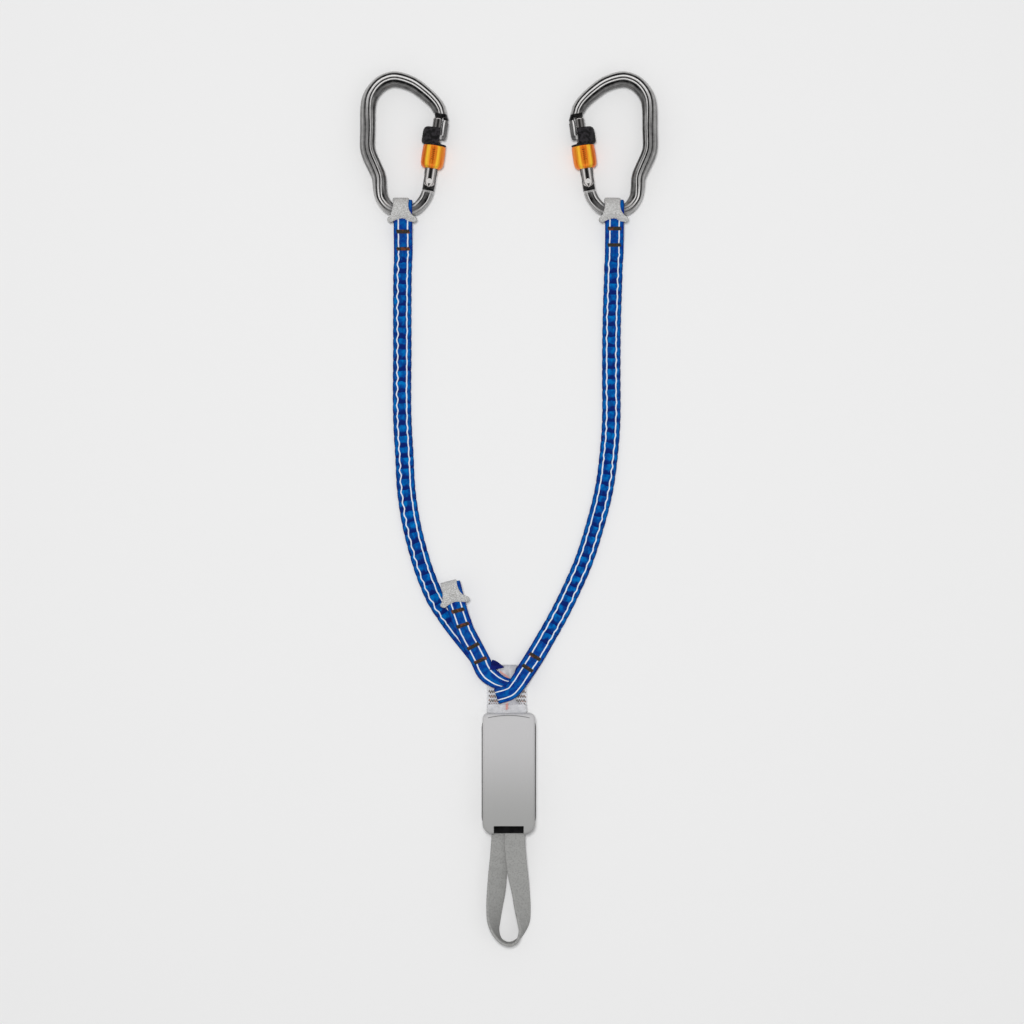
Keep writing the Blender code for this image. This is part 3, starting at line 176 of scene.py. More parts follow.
# Absorber
POUCH_WIDTH = 0.0441
POUCH_LENGTH = 0.0984
POUCH_THICKNESS = 0.024
POUCH_TOP = 0.1677
POUCH_WALL = 0.0015
POUCH_TOP_CORNER = 0.005
POUCH_FOOT_CORNER = 0.0085
POUCH_CROWN = 0.0035
POUCH_EDGE = 0.0032
PIPING_THICKNESS = 0.0009
PIPING_DEPTH = 0.0022
PIPING_PROUD = 0.0004
POUCH_TUCK = 0.0006
POUCH_MIDLINE = 0.0006
# Heights between which light is painted on the pouch, darker at its foot
POUCH_PAINTED_LIGHT_FOOT = -0.262
POUCH_PAINTED_LIGHT_HEAD = -0.178
GROOVE_PLACE = 0.0041
GROOVE_REACH = 0.0004
GROOVE_DEPTH = 0.00012
RUFFLE_DEPTH = 0.00018
SLOT_EASE = 0.0005
SLOT_REACH = 0.0035
OPENING_ROUND = 0.0006
TOP_LOOP_THICKNESS = 0.0012
TOP_LOOP_WIDTH = 0.022
TOP_LOOP_TAIL = 0.0085
SHEATH_WIDTH = 0.0333
SHEATH_WALL = 0.0006
SHEATH_LENGTH = 0.0064
FILM_TOP = 0.1456
PACK_WIDTH = 0.031
PACK_FOLDS = 8
PACK_SHEET = 0.0018
TAB_WIDTH = 0.0241
TAB_LENGTH = 0.0068
TAB_THICKNESS = 0.0012
TIE_WIDTH = 0.017
TIE_THICKNESS = 0.0022
TIE_TAIL = 0.0105
TIE_EDGE_SHARE = 0.012
TIE_EDGE_PITCH = 0.0002

# How much of the ribbed bar has its crown's section, at each row of its centreline
CROWN_ROWS = (0.8, 0.9, 1, 1, 1, 1, 0.9, 0.6, 0.25, 0, 0, 0, 0.1, 0.3, 0.6, 1, 1, 1, 1, 1, 1)

# The bar's centreline: x of FRAME_REACH and y of FRAME_RISE from the eye, depth of
# BAR_DEPTH, width of BAR_WIDTH, and how much of it is a ribbed beam or an open pocket
BAR_SHARES = (
    (0.487, 0.772, 0.87, 1.00, 1.0, 0.0),
    (0.430, 0.823, 0.88, 1.00, 1.0, 0.0),
    (0.302, 0.892, 0.93, 1.00, 1.0, 0.0),
    (0.121, 0.964, 0.99, 1.00, 1.0, 0.0),
    (-0.090, 1.000, 1.03, 1.00, 1.0, 0.0),
    (-0.236, 0.985, 1.03, 1.00, 1.0, 0.0),
    (-0.349, 0.940, 1.02, 1.00, 1.0, 0.0),
    (-0.438, 0.869, 1.01, 1.00, 1.0, 0.0),
    (-0.472, 0.783, 1.00, 1.00, 1.0, 0.0),
    (-0.476, 0.632, 0.99, 1.00, 1.0, 0.0),
    (-0.480, 0.496, 0.98, 1.00, 1.0, 0.0),
    (-0.451, 0.425, 0.98, 1.00, 1.0, 0.0),
    (-0.384, 0.342, 0.97, 1.00, 1.0, 0.0),
    (-0.325, 0.263, 0.94, 1.00, 1.0, 0.0),
    (-0.310, 0.173, 0.91, 1.00, 1.0, 0.0),
    (-0.277, 0.098, 0.85, 0.97, 0.9, 0.0),
    (-0.175, 0.027, 0.79, 0.93, 0.3, 0.0),
    (0.000, 0.000, 0.77, 0.91, 0.0, 0.0),
    (0.167, 0.023, 0.77, 0.93, 0.0, 0.3),
    (0.277, 0.086, 0.79, 0.98, 0.0, 1.0),
    (0.330, 0.145, 0.81, 1.00, 0.0, 0.6),
)
RIVET_SHARES = (0.356, 0.231)
NOSE_AIM_SHARES = (0.482, 0.709)

# Half sections of the bar, outer edge to inner edge: depth, width and painted brightness, which paints
# highlights on the ridges and shadow in the grooves, gaps and tongue
CROWN_SHARES = (
    (-1.00, 0.00, 0.08), (-0.97, 0.30, 0.26), (-0.92, 0.55, 0.46), (-0.85, 0.74, 0.52),
    (-0.78, 0.87, 0.46), (-0.72, 0.92, 0.20), (-0.62, 0.92, 0.01), (-0.50, 0.92, 0.04),
    (-0.41, 0.96, 0.88), (-0.34, 1.00, 1.00), (-0.27, 0.96, 0.88), (-0.21, 0.78, 0.08),
    (-0.12, 0.74, 0.05), (-0.03, 0.86, 0.78), (0.04, 0.91, 1.00), (0.11, 0.86, 0.78),
    (0.17, 0.66, 0.03), (0.36, 0.64, 0.01), (0.46, 0.80, 0.10), (0.60, 0.82, 0.16),
    (0.86, 0.54, 0.14), (1.00, 0.00, 0.05),
)
SPINE_SHARES = (
    (-1.00, 0.00, 0.04), (-0.97, 0.35, 0.05), (-0.90, 0.62, 0.09), (-0.78, 0.86, 0.26),
    (-0.60, 0.96, 0.34), (-0.42, 0.98, 0.27), (-0.31, 0.96, 0.06), (-0.24, 0.93, 0.03),
    (-0.16, 0.97, 0.20), (0.00, 1.00, 0.34), (0.14, 0.97, 0.24), (0.20, 0.76, 0.02),
    (0.30, 0.72, 0.01), (0.36, 0.90, 0.72), (0.42, 0.93, 0.64), (0.50, 0.88, 0.12),
    (0.57, 0.86, 0.16), (0.64, 0.84, 0.44), (0.71, 0.78, 0.22), (0.80, 0.66, 0.03),
    (0.93, 0.38, 0.01), (1.00, 0.00, 0.04),
)
ROUND_SHARES = (
    (-1.00, 0.00, 0.30), (-0.98, 0.24, 0.32), (-0.93, 0.46, 0.34), (-0.84, 0.66, 0.34),
    (-0.70, 0.82, 0.30), (-0.56, 0.91, 0.26), (-0.42, 0.96, 0.24), (-0.30, 0.99, 0.24),
    (-0.20, 1.00, 0.24), (-0.10, 1.00, 0.24), (0.00, 1.00, 0.24), (0.10, 1.00, 0.24),
    (0.20, 1.00, 0.24), (0.30, 0.99, 0.24), (0.40, 0.97, 0.24), (0.52, 0.93, 0.26),
    (0.64, 0.86, 0.28), (0.76, 0.76, 0.30), (0.86, 0.62, 0.32), (0.93, 0.46, 0.32),
    (0.98, 0.24, 0.30), (1.00, 0.00, 0.30),
)
POCKET_SHARES = (
    (-1.00, 0.00, 0.16), (-0.98, 0.30, 0.26), (-0.94, 0.60, 0.34), (-0.84, 0.84, 0.34),
    (-0.74, 0.95, 0.28), (-0.66, 0.98, 0.44), (-0.59, 0.97, 1.00), (-0.52, 0.92, 0.90),
    (-0.47, 0.66, 0.01), (-0.36, 0.63, 0.01), (-0.14, 0.62, 0.06), (0.00, 0.62, 0.10),
    (0.14, 0.62, 0.12), (0.28, 0.63, 0.04), (0.37, 0.66, 0.01), (0.43, 0.90, 0.85),
    (0.50, 0.95, 1.00), (0.58, 0.96, 0.44), (0.72, 0.90, 0.12), (0.90, 0.60, 0.06),
    (0.98, 0.28, 0.12), (1.00, 0.00, 0.14),
)
PLATE_SHARES = tuple(
    (-1 + 2 * i / 21, 0.0 if i in (0, 21) else 1.0, 0.05) for i in range(22)
)

# Bands before the hinge: share of the way to the tongue, and painted brightness: painted highlight lines and
# painted shadow gaps
HINGE_PAINTED_BANDS = ((0.02, 0.02), (0.08, 0.8), (0.20, 0.3), (0.30, 0.3), (0.42, 0.8), (0.50, 0.02), (1.0, 0.0))

# Keeper: height as a share of its skirt, how far it has flared, how far it shifted
KEEPER_SHARES = (
    (1.04, 0.55, 0.35), (0.80, 1.00, 0.38), (0.50, 0.82, 0.45),
    (0.26, 0.48, 0.75), (-0.05, 0.24, 1.00), (-0.40, 0.08, 1.05),
)

# Arm routes: share of the way from the eye's x and y to the junction's
LEFT_ARM_SHARES = (
    (-0.005, 0.083), (-0.010, 0.182), (-0.010, 0.286), (-0.013, 0.389), (-0.005, 0.451), (0.010, 0.501),
    (0.029, 0.576), (0.083, 0.650), (0.176, 0.725), (0.260, 0.774), (0.333, 0.807),
)
RIGHT_ARM_SHARES = (
    (0.009, 0.079), (0.009, 0.128), (0.023, 0.228), (0.027, 0.327), (0.027, 0.427), (0.050, 0.501),
    (0.095, 0.576), (0.177, 0.650), (0.282, 0.725), (0.427, 0.799), (0.541, 0.849),
)

# Strap routes from the junction: x and y in webbing widths, height in layers, width
RIGHT_FRONT_SHARES = (
    (2.090, 2.860, 1.20, 1.00), (1.605, 2.030, 2.70, 0.98), (1.150, 1.340, 4.30, 0.93),
    (0.755, 0.735, 5.40, 0.92), (0.320, 0.200, 5.40, 0.86), (-0.170, 0.005, 5.40, 0.86),
)
RIGHT_REAR_SHARES = (
    (-0.190, 0.020, 1.60, 0.80), (0.241, 0.270, 1.60, 0.92), (0.723, 0.750, 1.60, 0.98),
    (1.179, 1.370, 1.40, 1.00), (1.620, 2.060, 0.95, 1.00), (1.800, 2.360, 0.75, 1.00),
)
LEFT_UNDER_SHARES = (
    (-2.962, 3.972, 1.15, 1.00), (-2.620, 3.520, 1.10, 1.00), (-2.250, 3.050, 1.10, 1.00),
    (-1.366, 1.929, 1.10, 1.00), (-1.018, 1.233, 1.50, 0.96), (-0.580, 0.850, 2.50, 0.80),
    (-0.150, 0.640, 2.60, 0.64), (0.230, 0.560, 2.60, 0.60), (0.520, 0.580, 2.60, 0.58),
)
LEFT_OVER_SHARES = (
    (0.520, 0.580, 4.40, 0.58), (0.230, 0.560, 4.40, 0.64), (-0.150, 0.640, 4.40, 0.74),
    (-0.580, 0.850, 4.40, 0.90), (-1.018, 1.233, 3.30, 1.02), (-1.366, 1.929, 2.30, 1.02),
    (-1.760, 2.700, 2.80, 1.00), (-2.150, 3.450, 4.20, 1.00), (-2.400, 4.150, 5.20, 1.00),
)
REST_STUB_SHARES = (
    (-2.400, 4.150, 4.20, 1.00), (-2.150, 3.450, 3.20, 1.00),
)
LAYER_PITCH = 0.002
TOP_LOOP_SHARES = (
    (0.107, -1.40, 4.90, 1.30), (0.107, -0.95, 4.20, 1.30), (0.200, -0.62, 3.70, 0.90),
    (0.300, -0.30, 3.50, 0.40), (0.220, 0.12, 3.50, 0.38), (0.170, 0.60, 3.50, 0.40),
    (0.140, 0.95, 3.50, 0.46), (0.090, 1.38, 3.50, 0.68), (0.120, 1.53, 3.00, 0.74),
    (0.130, 1.57, 2.10, 0.75), (0.110, 1.53, 1.20, 0.72), (0.090, 1.38, 0.70, 0.68),
    (0.120, 0.90, 0.70, 0.80), (0.107, 0.40, 0.70, 1.30), (0.107, -0.10, 0.70, 1.34),
    (0.107, -0.50, 1.10, 1.34), (0.107, -0.95, 3.20, 1.30), (0.107, -1.40, 4.10, 1.30),
)

# Tie-in loop: x in its widths, share of its drop, height in its widths, turn in degrees
TIE_SHARES = (
    (-0.325, 0.00, 0.60, 0), (-0.360, 0.10, 0.60, 3), (-0.420, 0.22, 0.59, 13),
    (-0.530, 0.36, 0.57, 27), (-0.606, 0.52, 0.55, 30), (-0.690, 0.67, 0.53, 42),
    (-0.720, 0.79, 0.52, 55), (-0.660, 0.88, 0.52, 72), (-0.470, 0.953, 0.52, 84),
    (-0.220, 0.990, 0.52, 89), (0.030, 1.000, 0.52, 90), (0.280, 0.985, 0.52, 89), (0.500, 0.945, 0.52, 84),
    (0.680, 0.87, 0.52, 72), (0.715, 0.79, 0.53, 56), (0.660, 0.67, 0.58, 42),
    (0.566, 0.52, 0.65, 32), (0.430, 0.36, 0.71, 10), (0.345, 0.22, 0.75, 5),
    (0.290, 0.10, 0.78, 2), (0.288, 0.00, 0.78, 0),
)

# Bar tacks: heights on the eyes' stems, and places on the junction's straps
EYE_TACK_RISES = {"left": (0.2271, 0.2136), "right": (0.2296, 0.2165)}
RIGHT_TACK_PLACES = ((0.0248, -0.1230), (0.0170, -0.1316))
LEFT_TACK_PLACES = ((-0.0410, -0.0836), (-0.0364, -0.0955), (-0.0303, -0.1128), (-0.0223, -0.1242))

# Absorber's stitches. An edge stitch is its start, its end, its swing and its pitch
ZIGZAG_LEFT = -0.0164
ZIGZAG_RIGHT = 0.014
ZIGZAG_ROWS = (-0.1506, -0.1544, -0.1580, -0.1610)
ZIGZAG_SWING = 0.0011
ZIGZAG_PITCH = 0.0019
EDGE_STITCHES = (
    ((-0.0072, -0.1338), (0.0004, -0.1394), 0.0007, 0.0012),
    ((-0.0054, -0.1386), (-0.0036, -0.1446), 0.0007, 0.0012),
)
FOOT_STITCH = ((-0.0015, -0.1594), (-0.0015, -0.1648), 0.0011, 0.0013)
LID_DROP = 0.0033
LID_ARCH = 0.0021
LID_HALF = 0.017
LID_STEPS = 17

# Raw webbing end at the junction: x, y, height and width along it
FLAP_ROWS = (
    (-0.0146, -0.1283, 0.0073, 0.0086), (-0.0120, -0.1286, 0.0078, 0.0080),
    (-0.0090, -0.1291, 0.0083, 0.0056), (-0.0060, -0.1298, 0.0084, 0.0028),
    (-0.0040, -0.1302, 0.0084, 0.0008),
)
FLAP_ACROSS = Vector((0.25, 0.97, 0)).normalized()
FLAP_WIDTH = 0.0094
FLAP_THICKNESS = 0.0012

# Worked out from the sizes above
PLANE = SLEEVE_DIAMETER / 2 + CLEARANCE
LANYARD_HALF = EYE_RISE + FRAME_RISE + BAR_DEPTH * BAR_SHARES[4][2] / 2
GATE_RADIUS = GATE_DIAMETER / 2
RIVET = Vector((RIVET_SHARES[0] * FRAME_REACH, RIVET_SHARES[1] * FRAME_RISE))
NOSE_AIM = Vector((NOSE_AIM_SHARES[0] * FRAME_REACH, NOSE_AIM_SHARES[1] * FRAME_RISE))
GATE_LENGTH = (NOSE_AIM - RIVET).length
GATE_LEAN = math.atan2(NOSE_AIM.x - RIVET.x, NOSE_AIM.y - RIVET.y)
COLLAR_TOP = GATE_LENGTH - COLLAR_SETBACK
COLLAR_FOOT = COLLAR_TOP - COLLAR_LENGTH
SLEEVE_TOP = COLLAR_FOOT - COLLAR_RING - CLEARANCE
SLEEVE_FOOT = SLEEVE_TOP - SLEEVE_LENGTH
FLANGE_FOOT = SLEEVE_FOOT + SLEEVE_LIP + CLEARANCE
POUCH_FOOT = POUCH_TOP + POUCH_LENGTH
POUCH_MIDDLE = POUCH_THICKNESS / 2
LOOP_MIDDLE = JUNCTION_SHIFT + TOP_LOOP_SHARES[0][0] * WEBBING_WIDTH
EYE_PLACE = Matrix.Translation((-EYE_SPREAD, EYE_RISE, PLANE))
GATE_PLACE = EYE_PLACE @ Matrix.Translation((RIVET.x, RIVET.y, 0)) @ Matrix.Rotation(-GATE_LEAN, 4, "Z")

# Floor, camera and studio. The sky's stops run from below to overhead
FLOOR_SIZE = 3.0
FLOOR_TONE = 0.847
CAMERA_HEIGHT = 3.0
CAMERA_SHIFT = (0.00267, -0.00287)
CAMERA_END = 20
SENSOR_WIDTH = 36
VIEW_WIDTH = 0.8397
SUBJECT_HEIGHT = 0.010
SKY_STOPS = ((0.0, 0.45), (0.25, 0.26), (0.50, 1.02), (0.82, 1.06), (0.93, 0.14), (1.0, 0.03))
SKY_DIFFUSE = 0.36
LAMPS = (
    ("key_light", (-0.15, 0.30, 3.4), 0.6, 72.0),
    ("fill_light", (0.9, -0.3, 1.6), 0.9, 1.2),
)


def linear(red, green, blue):
    """A linear colour from the numbers a screen shows it with."""
    values = []
    for value in (red / 255, green / 255, blue / 255):
        values.append(value / 12.92 if value <= 0.04045 else ((value + 0.055) / 1.055) ** 2.4)
    return (*values, 1.0)


class Finish:
    """One material: a Principled shader and the nodes that feed it."""

    def __init__(self, name, roughness=0.5, metallic=0.0, **others):
        self.material = bpy.data.materials.new(name)
        self.material.use_nodes = True
        self.tree = self.material.node_tree
        self.shader = self.tree.nodes["Principled BSDF"]
        self.feed(self.shader.inputs["Roughness"], roughness)
        self.feed(self.shader.inputs["Metallic"], metallic)
        for key, value in others.items():
            self.feed(self.shader.inputs[key.replace("_", " ")], value)

    def feed(self, socket, value):
        """A link from another node's output, or a plain value."""
        if isinstance(value, bpy.types.NodeSocket):
            self.tree.links.new(value, socket)
        else:
            socket.default_value = value

    def maths(self, operation, a, b=0.0, clamp=False):
        """A sum, product or the like of one or two numbers."""
        made = self.tree.nodes.new("ShaderNodeMath")
        made.operation = operation
        made.use_clamp = clamp
        self.feed(made.inputs[0], a)
        self.feed(made.inputs[1], b)
        return made.outputs[0]

    def mark(self, name):
        """A number that the piece's mesh carries."""
        made = self.tree.nodes.new("ShaderNodeAttribute")
        made.attribute_name = name
        return made.outputs["Fac"]

    def place(self):
        """The piece's own coordinates."""
        return self.tree.nodes.new("ShaderNodeTexCoord").outputs["Object"]

    def strip(self, along, across):
        """Coordinates that follow a strap: metres along it and across it."""
        made = self.tree.nodes.new("ShaderNodeCombineXYZ")
        self.feed(made.inputs[0], self.maths("MULTIPLY", self.mark("along"), along))
        self.feed(made.inputs[1], self.maths("MULTIPLY", self.mark("across"), across))
        return made.outputs[0]

    def speckle(self, vector, scale, detail=2.0):
        """Soft noise between 0 and 1."""
        made = self.tree.nodes.new("ShaderNodeTexNoise")
        self.feed(made.inputs["Vector"], vector)
        self.feed(made.inputs["Scale"], scale)
        self.feed(made.inputs["Detail"], detail)
        return made.outputs["Fac"]

    def fade(self, value, low, high, start=0.0, end=1.0):
        """A smooth step from start at low to end at high."""
        made = self.tree.nodes.new("ShaderNodeMapRange")
        made.interpolation_type = "SMOOTHSTEP"
        for key, number in (("Value", value), ("From Min", low), ("From Max", high),
                            ("To Min", start), ("To Max", end)):
            self.feed(made.inputs[key], number)
        return made.outputs[0]

    def blend(self, share, a, b):
        """A colour between two colours."""
        made = self.tree.nodes.new("ShaderNodeMix")
        made.data_type = "RGBA"
        self.feed(made.inputs[0], share)
        self.feed(made.inputs[6], a)
        self.feed(made.inputs[7], b)
        return made.outputs[2]

    def colour(self, value):
        """The finish's own colour."""
        self.feed(self.shader.inputs["Base Color"], value)

    def relief(self, height, distance):
        """A bump from a height between 0 and 1."""
        made = self.tree.nodes.new("ShaderNodeBump")
        self.feed(made.inputs["Strength"], 1.0)
        self.feed(made.inputs["Distance"], distance)
        self.feed(made.inputs["Height"], height)
        self.feed(self.shader.inputs["Normal"], made.outputs[0])

    def wave(self, value, pitch):
        """A sine of a length, one turn to each pitch."""
        return self.maths("SINE", self.maths("MULTIPLY", value, math.tau / pitch))


def woven_relief(finish, pitch=WEAVE_PITCH, depth=WEAVE_DEPTH):
    """The over and under of a plain weave, as relief."""
    warp = finish.wave(finish.mark("across"), pitch)
    weft = finish.wave(finish.mark("along"), pitch)
    finish.relief(finish.maths("MULTIPLY", warp, weft), depth)


def striped_webbing(name, plain, pale, deep, stripe, reach, wobble, follow=0.0):
    """Blue webbing with two pale stripes; the tone mark paints shade where it is drawn into folds and
    highlights on the puckers' tops.
    """
    finish = Finish(name, roughness=0.85, Specular_IOR_Level=0.12)
    patches = finish.speckle(finish.strip(1, 1), 210)
    # Painted highlight: pale patches only where the tone mark is high, on the puckers' tops
    painted_top_patches = finish.maths("MULTIPLY", finish.fade(patches, 0.35, 0.65), finish.mark("tone"))
    body = finish.blend(painted_top_patches, plain, pale)
    # Painted shade: the deep colour where the tone mark is low, in the folds
    body = finish.blend(finish.fade(finish.mark("tone"), 0.1, 0.62), deep, body)
    drifts = finish.speckle(finish.strip(0.6, 1.3), 150, 1)
    body = finish.blend(finish.fade(drifts, 0.50, 0.66, 0.0, 0.55), body, deep)
    edge = finish.fade(finish.maths("ABSOLUTE", finish.mark("across")), SELVEDGE_START, SELVEDGE_END)
    body = finish.blend(finish.maths("MULTIPLY", edge, 0.65), body, deep)
    sway = finish.maths("SUBTRACT", finish.speckle(finish.strip(1, 0.0), 160, 1), 0.5)
    shifted = finish.maths("ADD", finish.mark("across"), finish.maths("MULTIPLY", sway, wobble))
    swing = finish.maths("MULTIPLY", finish.mark("sway"), follow)
    off = finish.maths("SUBTRACT", finish.maths("ABSOLUTE", shifted), finish.maths("ADD", swing, reach))
    band = finish.fade(finish.maths("ABSOLUTE", off), stripe * 0.42, stripe * 0.62, 1.0, 0.0)
    thread = finish.speckle(finish.strip(1, 3), 900, 1)
    white = finish.blend(thread, linear(226, 236, 248), linear(250, 252, 255))
    finish.colour(finish.blend(band, body, white))
    woven_relief(finish)
    return finish.material


def plain_webbing(name, base, dark, pitch=WEAVE_PITCH):
    """Plain woven webbing of one colour."""
    finish = Finish(name, roughness=0.85, Specular_IOR_Level=0.2)
    cloud = finish.speckle(finish.strip(1, 1), 160, 3)
    finish.colour(finish.blend(finish.fade(cloud, 0.3, 0.7), dark, base))
    woven_relief(finish, pitch)
    return finish.material


def ribbed_webbing(name, base, dark, rib):
    """Webbing of one colour with ridges straight across it, a rib apart, and slubs; painted shade darkens it
    between the ridges.
    """
    finish = Finish(name, roughness=0.85, Specular_IOR_Level=0.2)
    ridges = finish.fade(finish.wave(finish.mark("along"), rib), -0.7, 0.5)
    slubs = finish.fade(finish.speckle(finish.strip(1, 1), 620, 1), 0.36, 0.62)
    # Painted shade between the ridges, with random slubs
    shade = finish.maths("MULTIPLY", finish.maths("ADD", slubs, 0.6), ridges, clamp=True)
    finish.colour(finish.blend(shade, dark, base))
    finish.relief(ridges, RIB_DEPTH)
    return finish.material


def forged_metal():
    """Polished forged bar with fine scratches; the tone mark paints highlights on its ridges and shade in its
    grooves.
    """
    finish = Finish("forged_body_finish", metallic=0.5, Specular_IOR_Level=0.2)
    grain = finish.speckle(finish.strip(60, 4200), 1.0, 3)
    smudge = finish.speckle(finish.place(), 260, 3)
    # Painted highlight and shade: the tone mark, with a random smudge, runs the colour from near black to
    # near white
    tone = finish.maths("ADD", finish.mark("tone"), finish.maths("MULTIPLY", finish.maths(
        "SUBTRACT", smudge, 0.5), 0.24))
    tone = finish.maths("MULTIPLY", tone, finish.fade(grain, 0.25, 0.75, 0.8, 1.2), clamp=True)
    finish.colour(finish.blend(tone, (0.004, 0.004, 0.0045, 1), (0.98, 0.965, 0.955, 1)))
    finish.feed(finish.shader.inputs["Roughness"], finish.fade(grain, 0.3, 0.7, 0.20, 0.32))
    finish.relief(grain, 0.00002)
    return finish.material


def metal(name, base, dark, low, high, metallic=1.0, marked=False):
    """Turned or polished metal with a fine grain, from one roughness to another; where marked, the tone mark
    paints a dark reflection and shade into its colour.
    """
    finish = Finish(name, metallic=metallic)
    grain = finish.speckle(finish.place(), 4500, 4)
    body = finish.blend(finish.fade(grain, 0.25, 0.75), dark, base)
    if marked:
        # Painted reflection and shade: dark grey where the tone mark is low
        body = finish.blend(finish.mark("tone"), linear(26, 26, 27), body)
    finish.colour(body)
    finish.feed(finish.shader.inputs["Roughness"], finish.fade(grain, 0.3, 0.7, low, high))
    finish.relief(grain, 0.00001)
    return finish.material


def anodised_sleeve():
    """Orange anodised aluminium, brushed along its length, with two painted highlight streaks down it."""
    finish = Finish("orange_sleeve_finish", metallic=0.55)
    streak = finish.speckle(finish.strip(20, 760), 1.0, 3)
    cloud = finish.speckle(finish.place(), 260, 2)
    # Painted highlight: two pale yellow streaks, one either side of the sleeve's middle
    lane = finish.maths("ABSOLUTE", finish.maths(
        "SUBTRACT", finish.maths("ABSOLUTE", finish.mark("across")), HIGHLIGHT_LANE_PLACE))
    share = finish.maths("ADD", finish.fade(streak, 0.34, 0.66, 0.0, 0.38), finish.fade(
        lane, 0.0, HIGHLIGHT_LANE_REACH, 0.64, 0.0), clamp=True)
    body = finish.blend(share, linear(234, 86, 4), linear(255, 214, 54))
    body = finish.blend(finish.maths("MULTIPLY", cloud, 0.25), body, linear(226, 118, 14))
    finish.colour(finish.blend(finish.mark("tone"), linear(150, 60, 6), body))
    finish.feed(finish.shader.inputs["Roughness"], finish.fade(streak, 0.3, 0.7, 0.30, 0.44))
    finish.relief(streak, 0.00003)
    return finish.material


def moulded(name, base, dark, roughness, scale, depth, mix=1.0):
    """Rubber, plastic or coated cloth with a fine mottled surface."""
    finish = Finish(name, roughness=roughness, Specular_IOR_Level=0.25)
    mottle = finish.speckle(finish.place(), scale, 4)
    finish.colour(finish.blend(finish.fade(mottle, 0.5 - 0.2 * mix, 0.5 + 0.2 * mix), dark, base))
    fine = finish.speckle(finish.place(), scale * 3, 2)
    finish.relief(finish.maths("ADD", mottle, finish.maths("MULTIPLY", fine, 0.4)), depth)
    return finish.material


def pouch_cloth():
    """Smooth coated cloth, with painted light: paler towards the pouch's head, darker towards its foot."""
    finish = Finish("pouch_shell_finish", roughness=0.5)
    split = finish.tree.nodes.new("ShaderNodeSeparateXYZ")
    finish.feed(split.inputs[0], finish.place())
    # Painted light: the cloth runs from its darker colour at the foot to its paler one at the head
    height = finish.fade(split.outputs["Y"], POUCH_PAINTED_LIGHT_FOOT, POUCH_PAINTED_LIGHT_HEAD)
    fine = finish.speckle(finish.place(), 1600, 2)
    body = finish.blend(height, linear(160, 160, 159), linear(196, 195, 196))
    finish.colour(finish.blend(finish.maths("MULTIPLY", fine, 0.12), body, linear(156, 156, 155)))
    finish.relief(fine, 0.000015)
    return finish.material


def clear_film():
    """Thin clear tube, a little cloudy."""
    finish = Finish("clear_sheath_finish", roughness=0.22, IOR=1.45)
    cloud = finish.speckle(finish.place(), 220, 3)
    finish.colour(finish.blend(cloud, linear(226, 227, 230), linear(248, 248, 250)))
    finish.feed(finish.shader.inputs["Alpha"], finish.fade(cloud, 0.3, 0.7, 0.30, 0.48))
    finish.relief(cloud, 0.00010)
    return finish.material


def thread(name, base, dark, worn=None):
    """Twisted sewing thread, with painted shade in the grooves of its twist and patches of another colour
    where it has worn.
    """
    finish = Finish(name, roughness=0.7, Sheen_Weight=0.05)
    twist = finish.wave(finish.mark("along"), THREAD_TWIST)
    # Painted shade: darker where the twist's relief is low
    body = finish.blend(finish.fade(twist, -0.8, 0.8), dark, base)
    if worn:
        patch = finish.fade(finish.speckle(finish.place(), 330, 1), 0.52, 0.64)
        body = finish.blend(patch, body, worn)
    finish.colour(body)
    finish.relief(twist, 0.00006)
    return finish.material


LOOKS = {}


